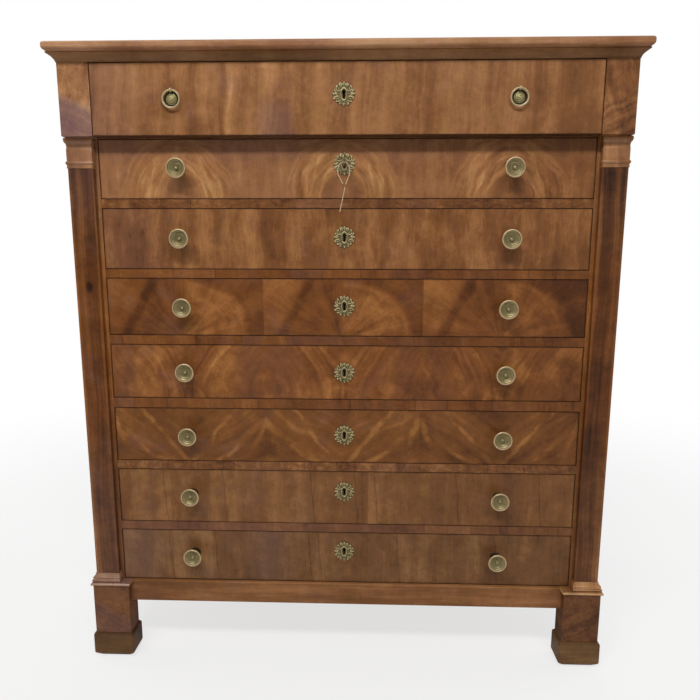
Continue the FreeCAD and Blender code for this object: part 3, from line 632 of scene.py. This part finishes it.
def foot_walnut():
    """Foot blocks: an olive cloud above a slanting line and redder violet wood below it."""
    g = Graph("plinth_walnut")
    wave = (g.noise(g.x * 30, g.z * 30) - 0.5) * 0.03
    slope = g.z - (abs(g.x) - 0.51) * 0.5 + wave
    lower = g.step(slope, 0.120, 0.108)
    tone, height = grain(g, slope, abs(g.x) * 0.6, 0.4, 0.2)
    g.hue = lower * 0.20 + 0.04
    tone = tone + 0.36 + mottle(g, 0.03) * 0.8 + g.bump(slope, 0.135, 0.014) * 0.05
    return polished(g, tone - lower * 0.03, height, 0.1, 0.35)


def moulded(name, level, rough, hue, highlight_ridges=(), shaded_grooves=()):
    """Mouldings cut across the grain, with painted highlights on the ridges and painted shade in
    the grooves.
    """
    g = Graph(name)
    tone, height = grain(g, g.x, g.z + g.y, 0.4, 0.3)
    tone = tone + level + mottle(g, 0.03) * 0.45
    # Painted highlights along the beads.
    for place in highlight_ridges:
        tone = tone + g.bump(g.z, place, 1.6 * mm) * 0.14
    # Painted shade in the grooves between them.
    for place in shaded_grooves:
        tone = tone - g.bump(g.z, place, 1.0 * mm) * 0.22
    g.hue = hue
    return polished(g, tone, height, 0.15, 0.3, rough=rough, gloss=0.45)


def lengthwise(name, level, tint=white, rough=0.42, purple=0.15, rise=0.0, edge=None):
    """Boards with their grain along X, lighter to the right by rise, and with a painted highlight
    above edge.
    """
    g = Graph(name)
    tone, height = grain(g, g.y + g.z, g.x * 0.8, 0.45, 0.2)
    tone = tone + level + g.x * rise + mottle(g, 0.05) * 0.4
    # Lighter above the height edge: a painted highlight, the rail's top arris catching the light.
    if edge:
        tone = tone + g.step(g.z, edge, edge + 1.0 * mm) * 0.13
    return polished(g, tone, height, purple, 0.3, tint, rough)


def side_walnut():
    """Side panels: a broad cathedral figure that runs upwards."""
    g = Graph("side_walnut")
    cathedral = g.math("SQRT", g.y * g.y * 4 + (g.z - 0.2) * (g.z - 0.2) * 0.02)
    tone, height = grain(g, cathedral, g.z * 0.7, 0.7, 0.3)
    return polished(g, tone + 0.46 + mottle(g, 0.08) * 0.3, height, 0.1)


def secondary_wood(name, boards=None):
    """Unpolished inner wood; boards is the box of a wall of boards, each with its own figure."""
    g = Graph(name)
    across, along, joint, shift = g.z + g.x * 0.3, g.y, 0.0, 0.0
    if boards:
        low, high = boards
        width = (high.x - low.x) / back_board_count
        cell = (g.x - low.x) / width
        pick = g.random(cell)
        side = g.x - low.x - width * (g.math("FLOOR", cell) + 0.35 + pick * 0.3)
        peak = g.z - 0.3 - pick * 0.6
        across = g.math("SQRT", side * side * 2 + peak * peak * 0.012) + pick * 3.0
        along = g.z * 0.5
        joint = g.step(g.math("PINGPONG", cell, 0.5) * width, 1.2 * mm, 0.4 * mm)
        shift = (pick - 0.5) * 0.3
    tone, height = grain(g, across, along, 0.5, 0.3)
    colour = g.ramp(tone + shift + 0.5, *inner_tones)
    dirt = g.solid(8, detail=5, rough=0.6)
    colour = g.blend(g.step(dirt, 0.45, 0.75) * 0.4, colour, dirt_brown, "MULTIPLY")
    colour = g.blend(joint * 0.85, colour, joint_brown)
    return g.finish(colour, 0.62 + dirt * 0.2, height, 0.12 * mm, Specular_IOR_Level=0.3)


# -------- metals and string
def brass(name, face, wear_and_light, rough=0.4):
    """Aged brass: patina and painted shade in its hollows, rubbed brass and painted highlights
    where it stands out of the wood at face.
    """
    g = Graph(name)
    cloud = g.solid(150, detail=3, rough=0.6)
    speck = g.solid(800, rough=0.6)
    span = wear_and_light[-1][0] * mm * 1.1
    place = (face - g.y) / span + (cloud - 0.5) * 0.05
    # Ramp by distance out of the wood: painted shade in the hollows and painted highlights at the
    # front, over real patina and wear.
    colour = g.ramp(place, *((out * mm / span, code) for out, code in wear_and_light))
    colour = g.blend(g.step(cloud, 0.46, 0.64) * 0.5, colour, verdigris, "MULTIPLY")
    colour = g.blend(g.step(speck, 0.56, 0.72) * 0.4, colour, tarnish, "MULTIPLY")
    return g.finish(colour, rough + (speck - 0.5) * 0.2, speck, 0.05 * mm, 0.4, Metallic=0.4)


def iron(name, *tones):
    """Filed iron or steel, from the darkest tone to the lightest."""
    g = Graph(name)
    cloud = g.solid(60, detail=5, rough=0.6)
    file_marks = g.noise(g.x * 900, g.y * 200, g.z * 60)
    colour = g.ramp(cloud, *zip((0.3, 0.55, 0.75), tones))
    return g.finish(colour, 0.35 + cloud * 0.2, file_marks, 0.04 * mm, Metallic=0.8)


def cotton():
    """Pale twisted string with a red-brown whipping where the loop closes."""
    g = Graph("string_cotton")
    twist = g.math("SINE", (g.x * 0.8 + g.z) * 2600)
    fluff = g.solid(900, detail=3)
    colour = g.ramp(fluff * 0.7 + twist * 0.1 + 0.15, *cotton_tones)
    knot = g.between(g.z, 0.9885, 0.9945, 0.8 * mm)
    colour = g.blend(knot * 0.8, colour, whipping_red)
    return g.finish(colour, 0.85 + fluff * 0.1, twist * 0.5 + fluff, 0.2 * mm, 0.8,
                    Specular_IOR_Level=0.2)


# -------- meshes
def show(name, data):
    """A new object in the scene."""
    piece = bpy.data.objects.new(name, data)
    scene.collection.objects.link(piece)
    return piece


def solidify(name, bm):
    """A new object from a bmesh."""
    mesh = bpy.data.meshes.new(name)
    bm.to_mesh(mesh)
    bm.free()
    return show(name, mesh)


def publish(name, bm, material, body, node, sharp=math.radians(38)):
    """A finished piece: smooth faces, edges sharp by angle, its body, slot and node."""
    bmesh.ops.recalc_face_normals(bm, faces=bm.faces)
    for face in bm.faces:
        face.smooth = True
    for edge in bm.edges:
        edge.smooth = edge.is_manifold and edge.calc_face_angle(0) < sharp
    piece = solidify(name, bm)
    piece.data.materials.append(material)
    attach(piece, body)
    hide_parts(node)


def circle(count, shift=0.0):
    """Angles of count points round a circle."""
    return [2 * math.pi * (i + shift) / count for i in range(count)]


def quads(bm, first, second):
    """Faces between two closed rows of as many vertices."""
    for i in range(len(first)):
        j = (i + 1) % len(first)
        bm.faces.new((first[i], first[j], second[j], second[i]))


def lathe(bm, profile, centre, segments=turned_segments):
    """Turns (radius, projection) points about the line along -Y through centre."""
    rings = []
    for radius, out in profile:
        angles = circle(segments) if radius > 1e-7 else [0.0]
        rings.append([bm.verts.new((centre.x + radius * math.cos(a), centre.y - out,
                                    centre.z + radius * math.sin(a))) for a in angles])
    for first, second in zip(rings, rings[1:]):
        if len(first) == len(second):
            quads(bm, first, second)
            continue
        for i in range(segments):
            j = (i + 1) % segments
            if len(first) == 1:
                bm.faces.new((first[0], second[j], second[i]))
            else:
                bm.faces.new((first[i], first[j], second[0]))


def arc(centre, radius, start, end, count):
    """Points of a round stretch; angles in degrees from the radius towards the front."""
    points = []
    for i in range(count + 1):
        a = math.radians(start + (end - start) * i / count)
        points.append((centre[0] + radius * math.cos(a), centre[1] + radius * math.sin(a)))
    return points


def square_nut(bm, x, y, z):
    """Square nut with its corners taken off, on the inside of a drawer front."""
    half = nut_width / 2
    cut = half * nut_corner_cut
    outline = []
    for sx, sz in ((1, 1), (-1, 1), (-1, -1), (1, -1)):
        first = (sx * half, sz * (half - cut))
        second = (sx * (half - cut), sz * half)
        outline += [first, second] if sx * sz > 0 else [second, first]
    rings = []
    for inset, share in ((0, 0), (0, nut_shoulder), (nut_top_inset, 1)):
        rings.append([bm.verts.new((x + a * (1 - inset), y + nut_thickness * share,
                                    z + b * (1 - inset))) for a, b in outline])
    for first, second in zip(rings, rings[1:]):
        quads(bm, first, second)
    bm.faces.new(rings[0])
    bm.faces.new(rings[-1][::-1])


def handle_places(n):
    """Middles of a drawer's two handles on its face, and y inside its front."""
    frieze = n == frieze_drawer
    front_low, front_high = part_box(f"drawer_{n}_front")
    low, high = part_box("ring_right" if frieze else f"drawer_{n}_knobs")
    x = (low.x + high.x) / 2 if frieze else high.x - knob_radius
    z = (low.z + high.z) / 2
    return [Vector((s * x, front_low.y, z)) for s in (-1, 1)], front_high.y


def shank(back):
    """Shank of a knob or plate, from the nut to the drawer's face."""
    return [(0.0, -back), (shank_radius, -back), (shank_radius, 0.0)]


def knob_profile(back):
    """Shank, spreading foot, waisted neck, round rim, and a dish with fine rings and a button."""
    out = knob_projection
    points = shank(back) + [(knob_seat, 0.0)]
    points += arc((knob_foot, knob_foot_bead), knob_foot_bead, -60, 90, 4)
    points += [(radius * mm, place * mm) for radius, place in knob_neck]
    points += arc((knob_radius - knob_rim, out - knob_rim), knob_rim, -68, 100, 10)
    return points + [(radius * mm, out - depth * mm) for radius, depth in knob_dish]


def plate_profile(back):
    """Shank, disc with a moulded edge, and a chased dome with rings round its middle."""
    return shank(back) + [(radius * mm, out * mm) for radius, out in plate_steps]


def eye_lug(bm, x, face, z):
    """Round lug of a ring pull's plate bored across for the ring's wire."""
    y = face - ring_stand_off
    half = eye_length / 2
    rings = []
    for side, outer, inner in lug_sections:
        reach, bore, x0 = eye_radius * outer, eye_bore * inner, x + half * side
        skin, hole = [], []
        for a in circle(eye_segments):
            c, s = math.cos(a), math.sin(a)
            back = max(c, 0.0) * (ring_stand_off - reach * 0.98)
            skin.append(bm.verts.new((x0, y + reach * c + back, z + reach * s)))
            hole.append(bm.verts.new((x0, y + bore * c, z + bore * s)))
        rings.append((skin, hole))
    for (first_skin, first_hole), (second_skin, second_hole) in zip(rings, rings[1:]):
        quads(bm, first_skin, second_skin)
        quads(bm, second_hole, first_hole)
    for skin, hole in (rings[0], rings[-1]):
        quads(bm, hole, skin)


def torus(bm, centre, radius, wire, around=ring_segments, axis="Y", flatness=1.0):
    """Closed ring of round wire about an axis along Y or X, along which flatness thins it."""
    loops = []
    for b in circle(wire_segments):
        reach = radius + wire * math.cos(b)
        side = wire * flatness * math.sin(b)
        loop = []
        for a in circle(around):
            across, up = reach * math.sin(a), reach * math.cos(a)
            place = (across, side, up) if axis == "Y" else (side, across, up)
            loop.append(bm.verts.new(centre + Vector(place)))
        loops.append(loop)
    for first, second in zip(loops, loops[1:] + loops[:1]):
        quads(bm, first, second)


def ridge(distance, width):
    """Round ridge: 1 on its line and 0 from its half width outwards."""
    return math.sqrt(max(0.0, 1 - (distance / width) ** 2))


def relief(x, z):
    """Height of the cast rocaille, in mm, at a place in mm round the plate's middle."""
    ax = abs(x)
    r = math.hypot(x, z)
    angle = math.degrees(math.atan2(ax, z))
    height = relief_ground + 0.2 * math.cos(r * 1.3)
    oval = math.hypot(ax / 5.6, (z + 0.4) / 10.6)
    height = max(height, 0.9 + 1.5 * ridge(oval - 1.0, 0.19))
    for cx, cz, radius, start, end, rise in scrolls:
        away = math.hypot(ax - cx, z - cz)
        turn = math.degrees(math.atan2(z - cz, ax - cx))
        if (turn - start) % 360 <= (end - start) % 360:
            height = max(height, relief_ground + rise * ridge(away - radius, 1.1))
        height = max(height, relief_ground + (rise + 0.3) * ridge(away, 1.3))
        if 1.3 < away < radius - 1.1:
            height = min(height, hollow_ground)
    side, up = ax - rosette_place[0], z - rosette_place[1]
    away = math.hypot(side, up)
    petals = 0.5 + 0.5 * math.cos(6 * math.atan2(up, side))
    petal = 0.9 + (1.1 + 0.6 * petals) * ridge(away, 3.4)
    height = max(height, petal, 1.2 + 1.7 * ridge(away, 1.2))
    if r > tips_start:
        tip = abs(math.cos(leaf_tips * math.radians(angle)))
        height = max(height, 0.7 + 1.7 * tip ** 3 * min(1.0, (r - tips_start) / 2.5))
    if angle < 30 and r > shell_start:
        flute = 0.5 + 0.5 * math.cos(math.radians(angle * 24))
        height = max(height, 0.9 + (0.4 + 1.2 * flute) * min(1.0, (r - shell_start) / 2.5))
    veins = math.cos(math.radians(angle * 22) + r * 0.9) * min(1.0, max(0.0, (r - 8.0) / 5.0))
    return height + 0.3 * veins


def outline_radius(angle):
    """Ragged outline of the keyhole plate with its leaf tips, in mm."""
    tip = abs(math.cos(leaf_tips * angle)) ** 0.7
    deep = 0.6 + 0.4 * math.cos(2 * angle + 0.5) ** 2
    return 18.2 + 3.3 * tip * deep - 0.4 * (0.5 + 0.5 * math.cos(5 * angle))


def keyhole_edge(angle):
    """Distance in mm from the plate's middle to the keyhole's edge; angle 0 points up."""
    up, across = math.cos(angle), abs(math.sin(angle))
    slot, low_end, high_end, pin, bore = 2.4, 8.4, 7.0, 3.5, 3.25
    middle = (high_end if up > 0 else low_end) - slot
    edge = slot / across if across > 1e-6 else 99.0
    if edge * abs(up) > middle:
        edge = middle * abs(up) + math.sqrt(max(0.0, slot * slot - (middle * across) ** 2))
    reach = bore * bore - (pin * across) ** 2
    if up > 0 and reach > 0:
        edge = max(edge, pin * up + math.sqrt(reach))
    return edge


def escutcheon(n, material):
    """Cast keyhole plate in relief, with a flat back on the wood."""
    low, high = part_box(f"drawer_{n}_escutcheon")
    bm = bmesh.new()
    face = high.y
    x0 = (low.x + high.x) / 2
    z0 = (low.z + high.z) / 2

    def vertex(r, a, height):
        x, z = x0 + r * math.sin(a) * mm, z0 + r * math.cos(a) * mm
        return bm.verts.new((x, face - height * mm, z))

    columns = []
    for a in circle(plate_segments, 0.5):
        start, end = keyhole_edge(a), outline_radius(a)
        column = [vertex(start, a, 0.0)]
        for k in range(plate_rings + 1):
            r = start + (end - start) * k / plate_rings
            edge = {0: keyhole_edge_share, plate_rings: outline_edge_share}.get(k, 1.0)
            column.append(vertex(r, a, relief(r * math.sin(a), r * math.cos(a)) * edge))
        columns.append(column + [vertex(end, a, 0.0)])
    for first, second in zip(columns, columns[1:] + columns[:1]):
        quads(bm, first, second)
    publish(f"keyhole_plate_{n}", bm, material, f"drawer_{n}", f"drawer_{n}_escutcheon",
            math.radians(70))


def turned_handles(n, material):
    """A drawer's knobs, or the plates of the frieze drawer's rings, with their nuts."""
    frieze = n == frieze_drawer
    profile = plate_profile if frieze else knob_profile
    places, inside = handle_places(n)
    bm = bmesh.new()
    for place in places:
        lathe(bm, profile(inside - place.y), place)
        if frieze:
            eye_lug(bm, place.x, place.y, place.z + ring_radius)
        square_nut(bm, place.x, inside, place.z)
    if frieze:
        publish("ring_pull_plates", bm, material, "drawer_1", "drawer_1_pull_plates")
    else:
        publish(f"turned_knobs_{n}", bm, material, f"drawer_{n}", f"drawer_{n}_knobs")


def pull_ring(name, material):
    """Wire ring of a ring pull."""
    low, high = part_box(name)
    bm = bmesh.new()
    torus(bm, (low + high) / 2, ring_radius, ring_wire)
    publish(name + "_wire", bm, material, name + "_pull", name)


def key(material):
    """Barrel key with a turned collar, a bit and a flat bow, whose middle it returns."""
    low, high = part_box("key")
    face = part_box(f"drawer_{keyed_drawer}_front")[0].y
    bow = Vector((0, face - key_bow_start - key_bow_radius + key_bow_overlap, (low.z + high.z) / 2))
    bm = bmesh.new()
    end = face - high.y
    bottom = end + key_bore_depth
    r = key_stem_radius
    profile = [(0.0, bottom), (key_stem_bore, bottom), (key_stem_bore, end), (r - 0.3 * mm, end),
               (r, end + 0.4 * mm)]
    profile += [(r + out * mm, place * mm) for out, place in key_turnings]
    profile += [(0.0, key_stem_end * mm)]
    lathe(bm, profile, Vector((0, face, bow.z)), key_segments)
    wire = (key_bow_radius - key_bow_hole) / 2
    torus(bm, bow, key_bow_hole + wire, wire, turned_segments, "X", key_bow_flatness)
    half = key_bit_thickness / 2
    corners = [bm.verts.new((x, y, z)) for x in (-half, half)
               for y in (high.y - key_bit_width, high.y) for z in (low.z, bow.z - r * 0.8)]
    for side in ((0, 1, 3, 2), (4, 6, 7, 5), (0, 4, 5, 1),
                 (2, 3, 7, 6), (0, 2, 6, 4), (1, 5, 7, 3)):
        bm.faces.new([corners[i] for i in side])
    publish("barrel_key", bm, material, "lock_key", "key")
    return bow


def string_loop(bow, material):
    """Cotton string through the key's bow, in one run from the knot to its loose end."""
    data = bpy.data.curves.new("string_loop", "CURVE")
    data.dimensions = "3D"
    data.bevel_depth = string_diameter / 2
    data.bevel_resolution = 4
    data.resolution_u = 12
    data.use_fill_caps = True
    line = data.splines.new("NURBS")
    line.points.add(len(string_route) - 1)
    for point, (x, z) in zip(line.points, string_route):
        point.co = (x * mm, bow.y, z * mm, 1)
    line.order_u = 3
    line.use_endpoint_u = True
    piece = show("string_loop", data)
    data.materials.append(material)
    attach(piece, "lock_key")
    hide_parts("key_string")


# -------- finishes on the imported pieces
def soften(piece, width):
    """Worn arrises: joins the mesh's doubled vertices, then rounds its edges."""
    weld = piece.modifiers.new("weld", "WELD")
    weld.merge_threshold = 0.01 * mm
    bevel = piece.modifiers.new("arris", "BEVEL")
    bevel.width = width
    bevel.segments = 2
    bevel.limit_method = "ANGLE"
    bevel.angle_limit = math.radians(35)
    bevel.harden_normals = True


def dress(name, material, arris=0.0):
    """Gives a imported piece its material, and worn edges as wide as arris."""
    for slot in nodes[name].material_slots:
        slot.material = material
    if arris:
        soften(nodes[name], arris)


def dress_case():
    """Woods of the case and the drawers."""
    dress("top_board", lengthwise("top_walnut", 0.81, "ebeafe"), block_arris)
    dress("cornice_moulding", lengthwise("cornice_walnut", 0.62, "eaf2fc", rough=0.5, purple=0.1))
    dress("frieze_blocks", block_walnut(), block_arris)
    dress("capitals", moulded("capital_walnut", 0.64, rough=0.34, hue=0.2), moulding_arris)
    dress("pilasters", upright("pilaster_walnut", 0.31, lip=0.14), block_arris)
    dress("pilaster_bases",
          moulded("base_walnut", 0.83, rough=0.3, hue=0.5, highlight_ridges=(0.1690, 0.1740, 0.1790),
                  shaded_grooves=(0.1714, 0.1766)), moulding_arris)
    dress("plinth_blocks", foot_walnut(), block_arris)
    dress("foot_shoes",
          lengthwise("shoe_walnut", 0.46, "daeffa", rough=0.5, purple=0.1, rise=0.14), shoe_arris)
    dress("corner_posts", upright("post_walnut", 0.46), board_arris)
    dress("side_panels", side_walnut())
    dress("drawer_rails", crossbanded(), board_arris)
    dress("base_rail", lengthwise("base_rail_walnut", 0.51, edge=0.1685), base_rail_arris)
    dress("back_boards", secondary_wood("back_wood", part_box("back_boards")), board_arris)
    inside = secondary_wood("inner_wood")
    for name in ("drawer_runners", "bottom_board"):
        dress(name, inside, board_arris)
    for n in drawer_numbers:
        dress(f"drawer_{n}_front", drawer_veneer(n), front_arris)
        dress(f"drawer_{n}_box", inside)


def dress_metal():
    """Handles, keyhole plates, locks, key and string."""
    frieze_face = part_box(f"drawer_{frieze_drawer}_front")[0].y
    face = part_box(f"drawer_{keyed_drawer}_front")[0].y
    knob_brass = brass("knob_brass", face, knob_wear_and_light)
    pull_brass = brass("pull_brass", frieze_face, pull_wear_and_light)
    frieze_plate_brass = brass("frieze_plate_brass", frieze_face, plate_wear_and_light, 0.45)
    plate_brass = brass("plate_brass", face, plate_wear_and_light, 0.45)
    steel = iron("lock_iron", "4a4238", "7d7568", "a49c8c")
    for n in drawer_numbers:
        frieze = n == frieze_drawer
        turned_handles(n, pull_brass if frieze else knob_brass)
        escutcheon(n, frieze_plate_brass if frieze else plate_brass)
        dress(f"drawer_{n}_lock", steel)
    dress("lock_bolt", steel)
    for name in ("ring_left", "ring_right"):
        pull_ring(name, pull_brass)
    bow = key(iron("key_iron", "7a6c50", "ab9c78", "d8cba6"))
    string_loop(bow, cotton())


# -------- stage, light and camera
def floor():
    """Pale matt floor that takes the chest's shadow and fades into white."""
    bm = bmesh.new()
    bmesh.ops.create_grid(bm, x_segments=8, y_segments=8, size=14.0)
    piece = solidify("floor", bm)
    material = bpy.data.materials.new("pale_floor")
    material.use_nodes = True
    piece.data.materials.append(material)
    tree = material.node_tree
    shader = settle(tree.nodes["Principled BSDF"], {
        "Base Color": (0.8, 0.8, 0.79, 1), "Roughness": 0.9, "Specular IOR Level": 0.0,
    })
    glow = add(tree, "Emission", Color=(1, 1, 1, 1))
    rays = add(tree, "LightPath")
    place = add(tree, "TexCoord")
    away = add(tree, "VectorMath")
    away.operation = "LENGTH"
    fade = add(tree, "MapRange", From_Min=0.9, From_Max=2.6, To_Min=0.70, To_Max=1.0)
    fade.interpolation_type = "SMOOTHSTEP"
    share = add(tree, "Math")
    share.operation = "MULTIPLY"
    mix = add(tree, "MixShader")
    for start, end in (
        (place.outputs["Object"], away.inputs[0]),
        (away.outputs["Value"], fade.inputs["Value"]),
        (rays.outputs["Is Camera Ray"], share.inputs[0]),
        (fade.outputs[0], share.inputs[1]),
        (share.outputs[0], mix.inputs[0]),
        (shader.outputs[0], mix.inputs[1]),
        (glow.outputs[0], mix.inputs[2]),
        (mix.outputs[0], tree.nodes["Material Output"].inputs["Surface"]),
    ):
        tree.links.new(start, end)


def lamp(name, place, target, size, watts):
    """Rectangular lamp at place, turned to target."""
    data = bpy.data.lights.new(name, "AREA")
    data.shape = "RECTANGLE"
    data.size, data.size_y = size
    data.energy = watts
    piece = show(name, data)
    piece.location = place
    piece.rotation_euler = (Vector(target) - Vector(place)).to_track_quat("-Z", "Y").to_euler()


def surroundings(ambient, front):
    """Dim room light; the camera sees white, and gloss sees white behind and a dim room ahead."""
    world = bpy.data.worlds.new("room")
    scene.world = world
    world.use_nodes = True
    tree = world.node_tree
    back = settle(tree.nodes["Background"], {"Color": (1, 1, 1, 1)})
    rays = add(tree, "LightPath")
    place = add(tree, "TexCoord")
    split = add(tree, "SeparateXYZ")
    behind = add(tree, "MapRange", From_Min=-0.2, From_Max=0.5, To_Min=front, To_Max=1.0)
    shiny = add(tree, "Math")
    shiny.operation = "MAXIMUM"
    light = add(tree, "Mix")
    seen = add(tree, "Mix")
    share, a, b = number_mix
    light.inputs[a].default_value = ambient
    seen.inputs[b].default_value = 1.0
    for start, end in (
        (place.outputs["Generated"], split.inputs[0]),
        (split.outputs["Y"], behind.inputs["Value"]),
        (rays.outputs["Is Glossy Ray"], shiny.inputs[0]),
        (rays.outputs["Is Transmission Ray"], shiny.inputs[1]),
        (shiny.outputs[0], light.inputs[share]),
        (behind.outputs[0], light.inputs[b]),
        (rays.outputs["Is Camera Ray"], seen.inputs[share]),
        (light.outputs[0], seen.inputs[a]),
        (seen.outputs[0], back.inputs["Strength"]),
    ):
        tree.links.new(start, end)


def camera():
    """At the photograph's place, a little right of the middle and looking down."""
    yaw, pitch, roll = [math.radians(angle) for angle in camera_angles]
    level = math.cos(pitch)
    ahead = Vector((math.sin(yaw) * level, math.cos(yaw) * level, -math.sin(pitch)))
    right = Vector((math.cos(yaw), -math.sin(yaw), 0))
    down = ahead.cross(right)
    across = math.cos(roll) * right + math.sin(roll) * down
    below = math.cos(roll) * down - math.sin(roll) * right
    data = bpy.data.cameras.new("camera")
    data.sensor_width = camera_sensor
    data.lens = camera_lens
    piece = show("camera", data)
    axes = Matrix((across, -below, -ahead)).transposed().to_4x4()
    piece.matrix_world = Matrix.Translation(camera_place) @ axes
    scene.camera = piece


camera_place = (0.0479, -1.3952, 0.8680)
camera_angles = (-1.78, 9.287, -0.127)  # yaw, pitch, roll in degrees
camera_lens = 30.57  # in mm, like the sensor's width
camera_sensor = 36.0
lamps = (  # name, place, target, size, watts
    ("key_light", (-0.35, -2.30, 3.25), (0, -0.25, 0.80), (3.2, 0.25), 92.0),
    ("fill_light", (1.6, -2.6, 1.1), (0, -0.2, 0.6), (1.6, 1.6), 4.0),
    ("left_light", (-3.4, 0.9, 1.9), (0, 0.1, 0.6), (1.8, 1.8), 30.0),
    ("right_light", (3.4, 0.9, 1.9), (0, 0.1, 0.6), (1.8, 1.8), 30.0),
    ("back_light", (0.5, 3.4, 2.1), (0, 0.2, 0.6), (2.4, 1.6), 45.0),
)

scene.view_settings.view_transform = "Standard"
dress_case()
dress_metal()
floor()
camera()
surroundings(ambient=0.20, front=0.10)
for settings in lamps:
    lamp(*settings)
